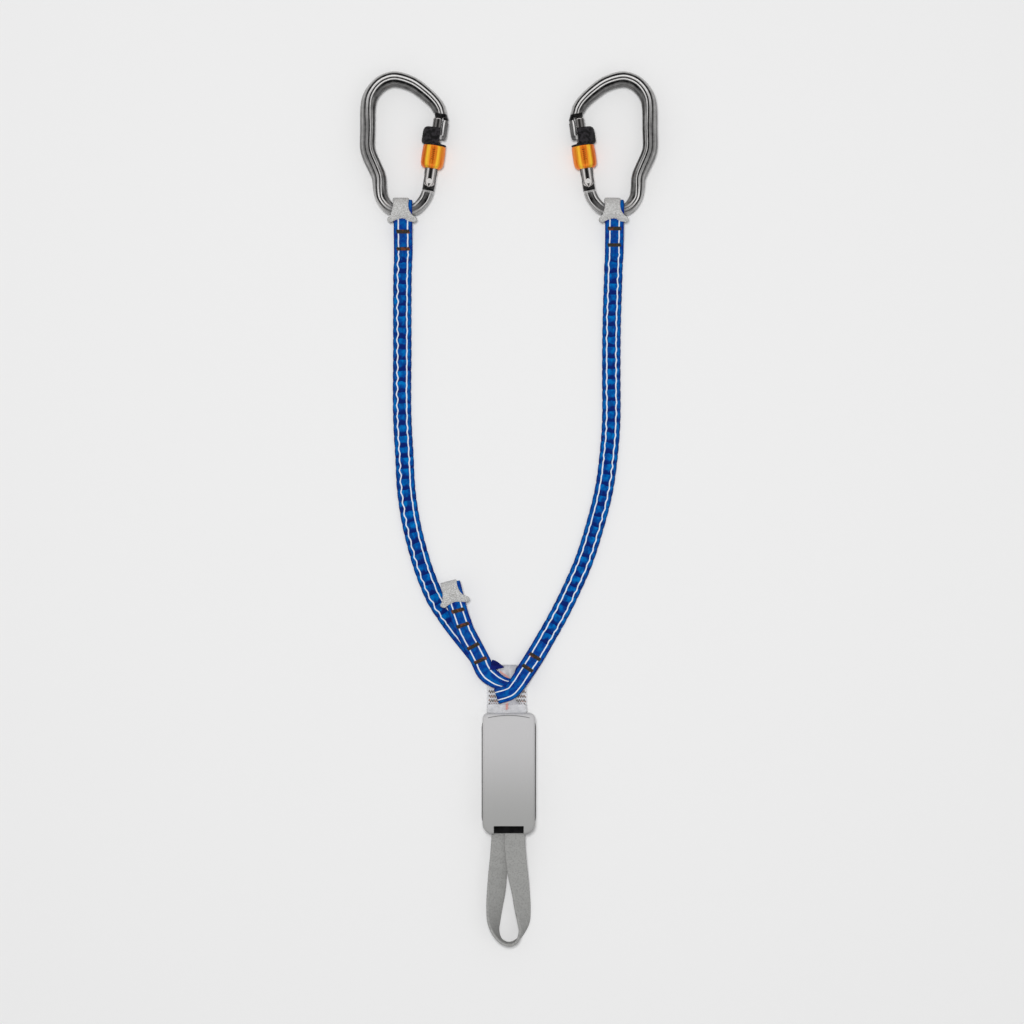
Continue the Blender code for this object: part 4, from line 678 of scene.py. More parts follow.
def make_looks():
    """Every finish of the lanyard, by a plain name."""
    LOOKS.update(
        arm=striped_webbing(
            "gathered_webbing_finish", linear(2, 74, 158), linear(0, 120, 198), linear(12, 36, 112),
            stripe=0.00098, reach=0.0039, wobble=0.0014, follow=0.0007),
        strap=striped_webbing(
            "sewn_webbing_finish", linear(8, 58, 148), linear(4, 98, 178), linear(22, 30, 116),
            stripe=0.001, reach=0.0038, wobble=0.0008),
        # Painted shade: the same blue webbing, darker, for the raw end in shadow
        navy=plain_webbing("navy_webbing_finish", linear(22, 34, 118), linear(12, 18, 76)),
        white=plain_webbing("white_webbing_finish", linear(226, 226, 230), linear(186, 186, 192)),
        tab=plain_webbing("black_tab_finish", linear(24, 24, 25), linear(8, 8, 9), pitch=0.0008),
        grey=ribbed_webbing(
            "grey_webbing_finish", linear(186, 186, 184), linear(138, 138, 136), rib=0.0009),
        forged=forged_metal(),
        gate=metal(
            "polished_gate_finish", linear(222, 218, 216), linear(186, 182, 180),
            low=0.14, high=0.24, marked=True),
        rivet=metal(
            "rivet_finish", linear(240, 238, 236), linear(216, 214, 212), low=0.3, high=0.4, metallic=0.3),
        steel=metal("stainless_finish", linear(236, 234, 230), linear(200, 198, 194), low=0.16, high=0.26),
        spring=metal(
            "spring_steel_finish", linear(190, 190, 190), linear(150, 150, 150), low=0.25, high=0.35),
        sleeve=anodised_sleeve(),
        tick=moulded(
            "grip_tick_finish", linear(138, 52, 8), linear(96, 34, 6),
            roughness=0.6, scale=900, depth=0.00003),
        collar=moulded(
            "black_collar_finish", linear(40, 38, 41), linear(1, 1, 2),
            roughness=0.6, scale=420, depth=0.00014, mix=0.35),
        # Painted shadow: the black finish of the blocks in the gaps at the noses
        seat=moulded(
            "nose_gap_shadow_finish", linear(16, 15, 15), linear(6, 6, 6),
            roughness=0.5, scale=700, depth=0.00005),
        keeper=moulded(
            "keeper_rubber_finish", linear(210, 210, 209), linear(158, 157, 155),
            roughness=0.62, scale=1200, depth=0.00014),
        pouch=pouch_cloth(),
        piping=moulded(
            "dark_piping_finish", linear(40, 40, 40), linear(20, 20, 20),
            roughness=0.7, scale=900, depth=0.00008),
        film=clear_film(),
        tack=thread("brown_thread_finish", linear(58, 46, 26), linear(30, 26, 18), worn=linear(112, 58, 34)),
        pink=thread("pink_thread_finish", linear(242, 184, 174), linear(226, 152, 142)),
        ash=thread("ash_thread_finish", linear(112, 102, 90), linear(70, 62, 54), worn=linear(160, 112, 86)),
        silver=thread("grey_thread_finish", linear(140, 140, 140), linear(104, 104, 104)),
    )


def smooth_rows(rows, steps):
    """A Catmull-Rom curve through rows of numbers, steps to each span."""
    rows = [tuple(float(value) for value in row) for row in rows]
    padded = [rows[0]] + rows + [rows[-1]]
    found = []
    for i in range(1, len(padded) - 2):
        a, b, c, d = padded[i - 1:i + 3]
        for step in range(steps):
            t = step / steps
            found.append(tuple(
                0.5 * (2 * q + (r - p) * t + (2 * p - 5 * q + 4 * r - s) * t * t
                       + (3 * q - p - 3 * r + s) * t ** 3)
                for p, q, r, s in zip(a, b, c, d)
            ))
    found.append(rows[-1])
    return found


def even_points(points, pitch):
    """Points a pitch apart along a run of points, ends kept."""
    total = sum((b - a).length for a, b in zip(points, points[1:]))
    count = max(2, round(total / pitch))
    gap = total / count
    found, walked, wanted = [points[0]], 0.0, gap
    for a, b in zip(points, points[1:]):
        length = (b - a).length
        while length and walked + length >= wanted and len(found) < count:
            found.append(a.lerp(b, (wanted - walked) / length))
            wanted += gap
        walked += length
    found.append(points[-1])
    return found


def side_vectors(points):
    """Level unit vectors across a strap at each of its points."""
    found = []
    for i in range(len(points)):
        before = points[max(i - 1, 0)]
        after = points[min(i + 1, len(points) - 1)]
        run = after - before
        side = Vector((-run.y, run.x, 0)).normalized()
        if found and side.dot(found[-1]) < 0:
            side.negate()
        found.append(side)
    return found


def lengths_along(points):
    """Distance along a run at each of its points."""
    found = [0.0]
    for a, b in zip(points, points[1:]):
        found.append(found[-1] + (b - a).length)
    return found


def arc(centre, radius, start, end, steps):
    """Points of an arc in a plane, angles in degrees."""
    points = []
    for step in range(steps + 1):
        angle = math.radians(start + (end - start) * step / steps)
        points.append((centre[0] + radius * math.cos(angle), centre[1] + radius * math.sin(angle)))
    return points


def finished_mesh(name, bm, sharp=40):
    """The mesh of a bmesh whose faces point out."""
    bmesh.ops.recalc_face_normals(bm, faces=bm.faces)
    if bm.calc_volume(signed=True) < 0:
        bmesh.ops.reverse_faces(bm, faces=bm.faces)
    mesh = bpy.data.meshes.new(name)
    bm.to_mesh(mesh)
    bm.free()
    mesh.shade_smooth()
    mesh.set_sharp_from_angle(angle=math.radians(sharp))
    return mesh


def swept(name, rings, marks=None, loop=False, sharp=40):
    """A skin laid on a grid: one row to each ring, joined round, ends closed."""
    if loop:
        rings = list(rings) + [rings[0]]
    rows, columns = len(rings), len(rings[0])
    bm = bmesh.new()
    bmesh.ops.create_grid(bm, x_segments=columns, y_segments=rows - 1, size=1)
    layers = {key: bm.verts.layers.float.new(key) for key in marks or {}}
    for i, vert in enumerate(list(bm.verts)):
        row, column = divmod(i, columns + 1)
        column %= columns
        vert.co = rings[row][column]
        for key, layer in layers.items():
            vert[layer] = marks[key](row, column)
    bmesh.ops.remove_doubles(bm, verts=bm.verts, dist=1e-7)
    rims = [edge for edge in bm.edges if edge.is_boundary]
    if rims:
        bmesh.ops.holes_fill(bm, edges=rims, sides=0)
    return finished_mesh(name, bm, sharp)


def shown(name, mesh, look, body="lanyard", stands_for=()):
    """A piece on its body, with its finish and the nodes it stands for."""
    obj = bpy.data.objects.new(name, mesh)
    bpy.context.scene.collection.objects.link(obj)
    mesh.materials.clear()
    mesh.materials.append(LOOKS[look])
    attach(obj, body)
    if stands_for:
        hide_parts(*stands_for)
    return obj


def shaped(name, mesh, changes, sharp=40):
    """A mesh after cuts, unions or a remesh: each change is a kind and its settings."""
    obj = bpy.data.objects.new(name, mesh)
    bpy.context.scene.collection.objects.link(obj)
    helpers = []
    for kind, settings in changes:
        change = obj.modifiers.new(kind.lower(), kind)
        for key, value in settings.items():
            if isinstance(value, bpy.types.Mesh):
                value = bpy.data.objects.new(value.name, value)
                bpy.context.scene.collection.objects.link(value)
                helpers.append(value)
            setattr(change, key, value)
    bpy.context.view_layer.update()
    graph = bpy.context.evaluated_depsgraph_get()
    result = bpy.data.meshes.new_from_object(obj.evaluated_get(graph))
    for helper in helpers + [obj]:
        bpy.data.objects.remove(helper)
    result.name = name
    result.shade_smooth()
    result.set_sharp_from_angle(angle=math.radians(sharp))
    return result


def marked(mesh, name, rule):
    """A number at each point of a mesh, from where the point is."""
    layer = mesh.attributes.new(name, "FLOAT", "POINT")
    for vert in mesh.vertices:
        layer.data[vert.index].value = rule(vert.co)


def cut(mesh, operation="DIFFERENCE"):
    """A cut by another mesh, or a union with it, as a change for shaped."""
    return ("BOOLEAN", {"operation": operation, "solver": "EXACT", "object": mesh})


def mirrored(mesh):
    """A mirror copy for the right-hand side."""
    bm = bmesh.new()
    bm.from_mesh(mesh)
    bmesh.ops.transform(bm, matrix=Matrix.Diagonal((-1, 1, 1, 1)), verts=bm.verts)
    bmesh.ops.reverse_faces(bm, faces=bm.faces)
    copy = mesh.copy()
    bm.to_mesh(copy)
    bm.free()
    return copy


def placed(mesh, matrix):
    """The same mesh, moved by a matrix."""
    mesh.transform(matrix)
    return mesh


def pair(name, mesh, look, body, stands_for=()):
    """The same piece on the left and, mirrored, on the right."""
    other = mirrored(mesh)
    for side, data in (("left", mesh), ("right", other)):
        nodes = [f"{side}_{node}" for node in stands_for]
        shown(f"{side}_{name}", data, look, f"{side}_{body}", nodes)


def round_section(count, flatness=0.72, fullness=0.86):
    """An oval section with full sides, as shares of half width and thickness."""
    shares = []
    for step in range(count):
        angle = math.tau * step / count
        c, s = math.cos(angle), math.sin(angle)
        shares.append((math.copysign(abs(c) ** fullness, c), math.copysign(abs(s) ** flatness, s)))
    return shares


FLAT_STEPS = (0.0, 0.15, 0.3, 0.45, 0.6, 0.75, 0.86, 0.93)


def band_section():
    """A flat strap's section with rounded selvedges."""
    upper = [(-a, 1.0) for a in reversed(FLAT_STEPS[1:])] + [(a, 1.0) for a in FLAT_STEPS]
    top = [(-0.975, 0.72)] + upper + [(0.975, 0.72)]
    return [(-1.0, 0.0)] + top + [(1.0, 0.0)] + [(a, -b) for a, b in reversed(top)]


BAND = band_section()


def ring_frames(points, sides):
    """The vector square to a strap's face at each of its points."""
    found = []
    for i, (centre, side) in enumerate(zip(points, sides)):
        before = points[max(i - 1, 0)]
        after = points[min(i + 1, len(points) - 1)]
        ahead = (after - centre).normalized() if i + 1 < len(points) else Vector()
        behind = (centre - before).normalized() if i else Vector()
        found.append(side.cross(ahead + behind).normalized())
    return found


def strap_mesh(name, points, sides, widths, thickness, full_width, tones=None):
    """A woven strap along its points, which marks where it runs along and across."""
    faces = ring_frames(points, sides)
    reach = lengths_along(points)
    rings = [
        [centre + side * (width / 2 * a) + face * (thickness / 2 * b) for a, b in BAND]
        for centre, side, face, width in zip(points, sides, faces, widths)
    ]
    tones = tones or [1.0] * len(points)
    marks = {
        "along": lambda row, column: reach[row],
        "across": lambda row, column: BAND[column][0] * full_width / 2,
        "tone": lambda row, column: tones[row],
    }
    return swept(name, rings, marks, sharp=60)


def thread_mesh(name, runs, radius):
    """Sewing threads: round tubes along runs of points, in one mesh."""
    turns = [math.tau * k / 6 for k in range(6)]
    bm = bmesh.new()
    for points in runs:
        tube = []
        for i, centre in enumerate(points):
            before = points[max(i - 1, 0)]
            after = points[min(i + 1, len(points) - 1)]
            ahead = (after - before).normalized()
            side = ahead.cross(Vector((0, 0, 1)))
            side = side.normalized() if side.length > 1e-4 else Vector((1, 0, 0))
            up = side.cross(ahead)
            tube.append([
                centre + side * (radius * math.cos(turn)) + up * (radius * math.sin(turn)) for turn in turns
            ])
        reach = lengths_along(points)
        marks = {"along": lambda row, column: reach[row], "across": lambda row, column: 0.0}
        mesh = swept(name, tube, marks)
        bm.from_mesh(mesh)
        bpy.data.meshes.remove(mesh)
    return finished_mesh(name, bm, 80)


def at_length(points, sides, faces, widths, wanted):
    """Where a strap is at one distance along it: place, across, face, width."""
    reach = lengths_along(points)
    for i in range(len(points) - 1):
        if reach[i + 1] >= wanted:
            share = (wanted - reach[i]) / max(reach[i + 1] - reach[i], 1e-9)
            side = sides[i].lerp(sides[i + 1], share).normalized()
            face = faces[i].lerp(faces[i + 1], share).normalized()
            width = widths[i] + (widths[i + 1] - widths[i]) * share
            return points[i].lerp(points[i + 1], share), side, face, width
    return points[-1], sides[-1], faces[-1], widths[-1]


def nearest_length(points, x, y):
    """Distance along a run to its point nearest one place of the plan."""
    reach = lengths_along(points)
    best = min(range(len(points)), key=lambda i: (points[i].x - x) ** 2 + (points[i].y - y) ** 2)
    return reach[best]


def tack_run(points, sides, widths, thickness, wanted):
    """A bar tack: a close zigzag of thread across a strap's upper face."""
    faces = ring_frames(points, sides)
    steps = TACK_STITCHES * SWING_STEPS
    run = []
    for step in range(steps + 1):
        spread = -1 + 2 * step / steps
        along = wanted + TACK_LENGTH / 2 * math.sin(math.tau * step / SWING_STEPS)
        centre, side, face, width = at_length(points, sides, faces, widths, along)
        if face.z < 0:
            face = -face
        reach = width / 2 * TACK_REACH_SHARE * spread
        run.append(centre + side * reach + face * (thickness / 2 + TACK_LIFT))
    return run


def make_camera():
    """The camera, straight above the lanyard."""
    camera = bpy.data.objects.new("camera", bpy.data.cameras.new("camera"))
    bpy.context.scene.collection.objects.link(camera)
    camera.location = (*CAMERA_SHIFT, CAMERA_HEIGHT)
    camera.data.sensor_width = SENSOR_WIDTH
    camera.data.lens = SENSOR_WIDTH * (CAMERA_HEIGHT - SUBJECT_HEIGHT) / VIEW_WIDTH
    camera.data.clip_end = CAMERA_END
    bpy.context.scene.camera = camera
    bpy.context.scene.view_settings.view_transform = "Standard"


def make_floor():
    """The pale floor the lanyard lies on."""
    bm = bmesh.new()
    bmesh.ops.create_grid(bm, x_segments=1, y_segments=1, size=FLOOR_SIZE)
    mesh = bpy.data.meshes.new("floor")
    bm.to_mesh(mesh)
    bm.free()
    floor = bpy.data.objects.new("floor", mesh)
    bpy.context.scene.collection.objects.link(floor)
    paper = Finish("floor_finish", roughness=0.9)
    fibres = paper.speckle(paper.place(), 60, 3)
    pale, dim = ((tone, tone, tone, 1) for tone in (FLOOR_TONE, FLOOR_TONE * 0.995))
    paper.colour(paper.blend(fibres, pale, dim))
    paper.feed(paper.shader.inputs["Specular IOR Level"], 0.1)
    floor.data.materials.append(paper.material)


def make_studio():
    """A plain surround, dark overhead so that polished metal shows dark bands, and two lamps."""
    world = bpy.data.worlds.new("studio")
    bpy.context.scene.world = world
    world.use_nodes = True
    tree = world.node_tree
    background = tree.nodes["Background"]
    coords = tree.nodes.new("ShaderNodeTexCoord")
    split = tree.nodes.new("ShaderNodeSeparateXYZ")
    ramp = tree.nodes.new("ShaderNodeValToRGB")
    tree.links.new(coords.outputs["Generated"], split.inputs[0])
    tree.links.new(split.outputs["Z"], ramp.inputs[0])
    elements = ramp.color_ramp.elements
    while len(elements) < len(SKY_STOPS):
        elements.new(0.5)
    for element, (position, level) in zip(elements, SKY_STOPS):
        element.position = position
        element.color = (level, level, level, 1)
    light_path = tree.nodes.new("ShaderNodeLightPath")
    colour = ramp.outputs[0]
    for ray, level in (("Is Diffuse Ray", SKY_DIFFUSE), ("Is Camera Ray", FLOOR_TONE)):
        mix = tree.nodes.new("ShaderNodeMix")
        mix.data_type = "RGBA"
        mix.inputs[7].default_value = (level, level, level, 1)
        tree.links.new(light_path.outputs[ray], mix.inputs[0])
        tree.links.new(colour, mix.inputs[6])
        colour = mix.outputs[2]
    tree.links.new(colour, background.inputs[0])
    background.inputs[1].default_value = 1.0

    for name, place, size, power in LAMPS:
        lamp = bpy.data.lights.new(name, "AREA")
        lamp.size = size
        lamp.energy = power
        obj = bpy.data.objects.new(name, lamp)
        obj.location = place
        obj.rotation_euler = (-Vector(place)).to_track_quat("-Z", "Y").to_euler()
        obj.visible_glossy = False
        bpy.context.scene.collection.objects.link(obj)


def junction_points(rows):
    """Places at the junction, from webbing widths and layers."""
    corner = Vector((JUNCTION_SHIFT, -JUNCTION_DROP, 0))
    return [
        corner + Vector((x * WEBBING_WIDTH, y * WEBBING_WIDTH, layer * LAYER_PITCH))
        for x, y, layer, _ in rows
    ]


def arm_route(side):
    """The arm's middle line, from its eye's stem to the start of its strap."""
    shares, strap_rows = {
        "left": (LEFT_ARM_SHARES, LEFT_UNDER_SHARES),
        "right": (RIGHT_ARM_SHARES, RIGHT_FRONT_SHARES),
    }[side]
    start_x = (-1 if side == "left" else 1) * EYE_SPREAD
    rows = [
        (start_x + (JUNCTION_SHIFT - start_x) * a, EYE_RISE + (-JUNCTION_DROP - EYE_RISE) * b)
        for a, b in shares
    ]
    near, after = (point.to_2d() for point in junction_points(strap_rows[:2]))
    foot = near - (after - near).normalized() * CLEARANCE * 3
    rows.append(tuple(foot))
    head = Vector((start_x, EYE_RISE - STEM_LENGTH - CLEARANCE * 3, ARM_THICKNESS / 2))
    route = [Vector((x, y, ARM_THICKNESS / 2)) for x, y in smooth_rows(rows, 6)]
    return [head] + [point for point in route if point.y < head.y - ARM_PITCH]


def pucker_point(a, b, walked, spare, phase, seed):
    """How far a point of a gathered arm lies across its line and above it.

    The point is a of half a width across and b of half a thickness up, so far along
    the arm and so far from its nearer end. Noise rates are waves to a metre.
    """
    swell = math.sin(math.pi * phase ** 0.8) ** 0.55
    lane = 1 - 0.10 * math.exp(-((abs(a) - 0.51) / 0.10) ** 2)
    thick = ARM_THICKNESS / 2 * (ARM_VALLEY_SHARE + (1 - ARM_VALLEY_SHARE) * swell) * lane
    thick *= 0.62 + 0.38 * min(1.0, spare / ARM_TAPER)
    wide = WEBBING_WIDTH / 2 * (ARM_PINCH_SHARE + (1 - ARM_PINCH_SHARE) * swell)
    crumple = ARM_CRUMPLE * noise.noise(Vector((walked * 700, a * 5, seed)))
    lift = max(b * thick + math.copysign(crumple, b), FLOOR_GAP - ARM_THICKNESS / 2)
    return a * wide, lift


def pucker_painted_shade(a, walked, phase, seed):
    """Painted light at a point of a gathered arm: painted shade in the folds, strongest between its stripes,
    painted highlight on the puckers' tops, and a random mottle.
    """
    ragged = abs(a) + 0.10 * noise.noise(Vector((walked * 420, a * 3, seed)))
    lane = 1 / (1 + math.exp((ragged - 0.50) / 0.05))
    # Painted shade and highlight: darker in each pucker's fold, paler on its top
    drawn = 0.62 * (0.34 + 0.66 * lane) * math.cos(math.pi * phase)
    mottle = noise.noise(Vector((walked * 200, a * 2.6, seed)))
    mottle += 0.6 * noise.noise(Vector((walked * 620, a * 8, seed)))
    return min(1.0, max(0.0, 0.60 - 0.06 * lane + drawn + 0.5 * mottle))


def make_arm(side):
    """A gathered elastic arm: a flat tube drawn into puckers, with two stripes."""
    name = f"{side}_arm"
    route = arm_route(side)
    head = route[0] + (route[0] - route[1]).normalized() * ARM_TUCK
    tail = route[-1] + (route[-1] - route[-2]).normalized() * ARM_TUCK
    route = [head] + route[1:-1] + [tail]
    total = lengths_along(route)[-1]
    pitch = total / round(total / ARM_PITCH)
    points = even_points(route, ARM_STEP)
    sides = side_vectors(points)
    reach = lengths_along(points)
    section = round_section(ARM_POINTS)
    up = Vector((0, 0, 1))
    seed, swings = ARM_SEEDS[side], ARM_SWAYS[side]
    rings, tones = [], []
    for centre, across, walked in zip(points, sides, reach):
        ring, shades = [], []
        slant = 0.12 * noise.noise(Vector((walked * 60, seed, 0)))
        for a, b in section:
            bend = slant * a + 0.09 * noise.noise(Vector((walked * 130, seed, a * 1.5)))
            phase = (walked / pitch + bend) % 1.0
            aside, lift = pucker_point(a, b, walked, min(walked, total - walked), phase, seed)
            ring.append(centre + across * aside + up * lift)
            shades.append(pucker_painted_shade(a, walked, phase, seed))
        rings.append(ring)
        tones.append(shades)
    # The tone mark carries the painted shade and highlight of the puckers, with mottle
    marks = {
        "along": lambda row, column: reach[row],
        "across": lambda row, column: section[column][0] * WEBBING_WIDTH / 2,
        "tone": lambda row, column: tones[row][column],
        "sway": lambda row, column: (
            0.5 * math.cos(math.tau * (reach[row] / pitch - 0.14)) * swings[section[column][0] > 0]),
    }
    mesh = swept(name, rings, marks, sharp=80)
    obj = shown(name, mesh, "arm", stands_for=[f"{side}_arm_webbing"])
    path = [tuple(point) for point in even_points(route, total / 34)]


def eye_profile(half_gap, grow=0.0, steps=5):
    """The middle line of a webbing eye as height over the bar and offset from its
    plane, up the front, over the top and down the back, grown by an offset."""
    half = half_gap + WEBBING_THICKNESS / 2
    layer = (WEBBING_THICKNESS + LAYER_GAP) / 2
    reach = EYE_TOP + WEBBING_THICKNESS / 2 - half
    widen = half - layer
    rows = [(-EYE_CLOSE, layer)]
    for height_share, width_share in ((0.72, 0.14), (0.44, 0.50), (0.20, 0.84)):
        rows.append((-EYE_CLOSE * height_share, layer + widen * width_share))
    rows.append((reach, half))
    rows = smooth_rows(rows, max(1, steps // 4))[:-1]
    front = [(a, b + grow) for a, b in rows] + arc((reach, 0), half + grow, 90, 0, steps)
    return front + [(a, -b) for a, b in reversed(front[:-1])]


def profile_width(profile, height):
    """Half width of an eye's profile at one height."""
    rising = profile[:len(profile) // 2]
    for (a, wide_a), (b, wide_b) in zip(rising, rising[1:]):
        if a <= height <= b:
            return wide_a + (wide_b - wide_a) * (height - a) / (b - a)
    return rising[0][1]


def make_eye(side):
    """The sewn eye of one arm, with its two bar tacks."""
    name = f"{side}_eye"
    layer = (WEBBING_THICKNESS + LAYER_GAP) / 2
    drop = PLANE - ARM_THICKNESS / 2
    tail = []
    for step in range(24):
        share = 1 - step / 25
        ease = share * share * (3 - 2 * share)
        tail.append((-EYE_CLOSE - (STEM_LENGTH - EYE_CLOSE) * share, -drop * ease))
    front = [(y, z + layer) for y, z in tail]
    rows = front + eye_profile(EYE_HALF_GAP, steps=20) + [(y, z - layer) for y, z in reversed(tail)]
    start_x = (-1 if side == "left" else 1) * EYE_SPREAD
    points = [Vector((start_x, EYE_RISE + y, PLANE + z)) for y, z in rows]
    across = [Vector((1, 0, 0))] * len(points)
    widths = [WEBBING_WIDTH] * len(points)
    mesh = strap_mesh(name, points, across, widths, WEBBING_THICKNESS, WEBBING_WIDTH)
    shown(name, mesh, "strap", stands_for=[f"{side}_eye_webbing"])
    shelf_end = 6
    shelf = points[:len(front) + shelf_end]
    runs = []
    for rise in EYE_TACK_RISES[side]:
        wanted = nearest_length(shelf, start_x, rise)
        runs.append(tack_run(shelf, across, widths, WEBBING_THICKNESS, wanted))
    shown(f"{name}_tacks", thread_mesh(f"{name}_tacks", runs, TACK_RADIUS), "tack")


def keeper_mesh(name, half_gap):
    """The rubber keeper: a neck over the eye that flares to a collar."""
    tall = half_gap + WEBBING_THICKNESS + CLEARANCE + KEEPER_WALL
    top = EYE_TOP + WEBBING_THICKNESS + CLEARANCE + KEEPER_WALL
    neck, flare = KEEPER_NECK / 2, KEEPER_FLARE / 2
    foot = -KEEPER_SKIRT
    profile = eye_profile(half_gap, WEBBING_THICKNESS / 2 + CLEARANCE + KEEPER_WALL)
    rows = [
        (foot * height, neck + (flare - neck) * spread, shift)
        for height, spread, shift in KEEPER_SHARES
    ]
    stations = [(y, half_x, min(tall, profile_width(profile, y)), shift) for y, half_x, shift in rows]
    centre = top - tall
    for turn, narrow in ((25, 1.0), (45, 0.985), (62, 0.955), (78, 0.89)):
        angle = math.radians(turn)
        stations.append((centre + tall * math.sin(angle), neck * narrow, tall * math.cos(angle), 1.0))
    section = round_section(56, 0.36, 0.36)
    rings = []
    for y, half_x, half_z, shift in smooth_rows(stations, 5):
        low = max(0.0, y / foot) ** 2
        ring = []
        for a, b in section:
            arch = KEEPER_ARCH * low * max(0.0, 1 - (half_x * a / KEEPER_ARCH_REACH) ** 2) * abs(b)
            ring.append(Vector((KEEPER_SHIFT * shift + half_x * a, y + arch, half_z * b)))
        rings.append(ring)
    outer = swept(name, rings)
    inner = eye_profile(half_gap, WEBBING_THICKNESS / 2 + CLEARANCE)
    floor = KEEPER_COLLAR - KEEPER_SKIRT
    at_floor = profile_width(inner, floor)
    outline = [(floor, at_floor)] + [(a, b) for a, b in inner if a > floor] + [(floor, -at_floor)]
    eye = swept(f"{name}_eye", [
        [Vector((x, a, b)) for a, b in outline] for x in (-KEEPER_FLARE, KEEPER_FLARE)
    ])
    half = WEBBING_WIDTH / 2 + CLEARANCE
    corners = ((1, 1), (-1, 1), (-1, -1), (1, -1))
    stem_rings = []
    for y in (-EYE_CLOSE, -EYE_CLOSE * 0.72, floor, floor + KEEPER_STEM_RISE):
        half_z = profile_width(inner, min(y, floor))
        stem_rings.append([Vector((a * half, y, b * half_z)) for a, b in corners])
    stem = swept(f"{name}_stem", stem_rings)
    return shaped(name, outer, [
        cut(eye), cut(stem),
        ("REMESH", {"mode": "VOXEL", "voxel_size": KEEPER_GRAIN}),
        ("SMOOTH", {"factor": 0.5, "iterations": 6}),
    ], sharp=80)


def make_keepers():
    """Three alike rubber keepers on the three eyes."""
    for side, flip in (("left", -1), ("right", 1)):
        name = f"{side}_keeper_rubber"
        seat = Matrix.Translation((flip * EYE_SPREAD, EYE_RISE, PLANE))
        mesh = placed(keeper_mesh(name, EYE_HALF_GAP), seat)
        shown(name, mesh, "keeper", stands_for=[f"{side}_keeper"])
    seat = Matrix.Translation(rest_eye_seat()) @ Matrix.Rotation(REST_LEAN, 4, "Z")
    mesh = placed(keeper_mesh("rest_keeper_rubber", REST_HALF_GAP), seat)
    shown("rest_keeper_rubber", mesh, "keeper", stands_for=["rest_keeper"])


def folded_run(first, second, width, steps=8):
    """Points, vectors across and widths of a strap that runs out, folds round and
    runs back over or under itself."""
    first, second = smooth_rows(first, steps), smooth_rows(second, steps)
    out, home = junction_points(first), junction_points(second)
    across = side_vectors(out)
    outward = across[-1].cross(Vector((0, 0, 1)))
    if outward.dot(out[-1] - out[-2]) < 0:
        outward.negate()
    centre = (out[-1] + home[0]) / 2
    radius = (out[-1].z - home[0].z) / 2
    fold = []
    for turn in range(15, 180, 15):
        angle = math.radians(turn)
        rise = Vector((0, 0, radius * math.cos(angle)))
        fold.append(centre + outward * abs(radius) * math.sin(angle) + rise)
    back = side_vectors(home)
    if back[0].dot(across[-1]) < 0:
        back = [-side for side in back]
    back[0] = across[-1]
    points = out + fold + home
    sides = across + [across[-1]] * len(fold) + back
    shares = [row[3] for row in first] + [first[-1][3]] * len(fold) + [row[3] for row in second]
    return points, sides, [width * share for share in shares], len(out), len(out) + len(fold)


def rest_eye_seat():
    """Where the rest arm's eye lies: on the left arm, leaned over."""
    under = ARM_THICKNESS + CLEARANCE
    height = under + KEEPER_WALL + CLEARANCE + WEBBING_THICKNESS + REST_HALF_GAP
    return Vector((REST_EYE_X, REST_EYE_Y, height))


def make_right_junction():
    """The right arm's sewn end, folded round the top loop, with two bar tacks."""
    name = "right_strap"
    points, sides, widths, ends, _ = folded_run(RIGHT_FRONT_SHARES, RIGHT_REAR_SHARES, WEBBING_WIDTH)
    mesh = strap_mesh(name, points, sides, widths, WEBBING_THICKNESS, WEBBING_WIDTH)
    shown(name, mesh, "strap", stands_for=["right_junction_strap"])
    front = points[:ends]
    runs = []
    for x, y in RIGHT_TACK_PLACES:
        wanted = nearest_length(front, x, y)
        runs.append(tack_run(front, sides[:ends], widths[:ends], WEBBING_THICKNESS, wanted))
    shown(f"{name}_tacks", thread_mesh(f"{name}_tacks", runs, TACK_RADIUS), "tack")


def make_left_junction():
    """The left arm's end, folded round the top loop and back over itself to the
    rest arm's eye, with four bar tacks."""
    name = "left_strap"
    points, sides, widths, _, start = folded_run(LEFT_UNDER_SHARES, LEFT_OVER_SHARES, WEBBING_WIDTH)
    seat = rest_eye_seat()
    turn = Matrix.Rotation(REST_LEAN, 3, "Z")
    eye = [seat + turn @ Vector((0, y, z)) for y, z in eye_profile(REST_HALF_GAP, steps=20)]
    across = turn @ Vector((1, 0, 0))
    if across.dot(sides[-1]) < 0:
        across.negate()
    stub = junction_points(REST_STUB_SHARES)
    stub_sides = [sides[-1], sides[-8]]
    points = points + eye + stub
    sides = sides + [across] * len(eye) + stub_sides
    widths = widths + [WEBBING_WIDTH] * (len(eye) + len(stub))
    mesh = strap_mesh(name, points, sides, widths, WEBBING_THICKNESS, WEBBING_WIDTH)
    shown(name, mesh, "strap", stands_for=["left_junction_strap"])
    shelf_end = 14
    shelf = slice(start, len(points) - len(stub) - len(eye) + shelf_end)
    over, over_sides, over_widths = points[shelf], sides[shelf], widths[shelf]
    runs = []
    for x, y in LEFT_TACK_PLACES:
        wanted = nearest_length(over, x, y)
        runs.append(tack_run(over, over_sides, over_widths, WEBBING_THICKNESS, wanted))
    shown(f"{name}_tacks", thread_mesh(f"{name}_tacks", runs, TACK_RADIUS), "tack")


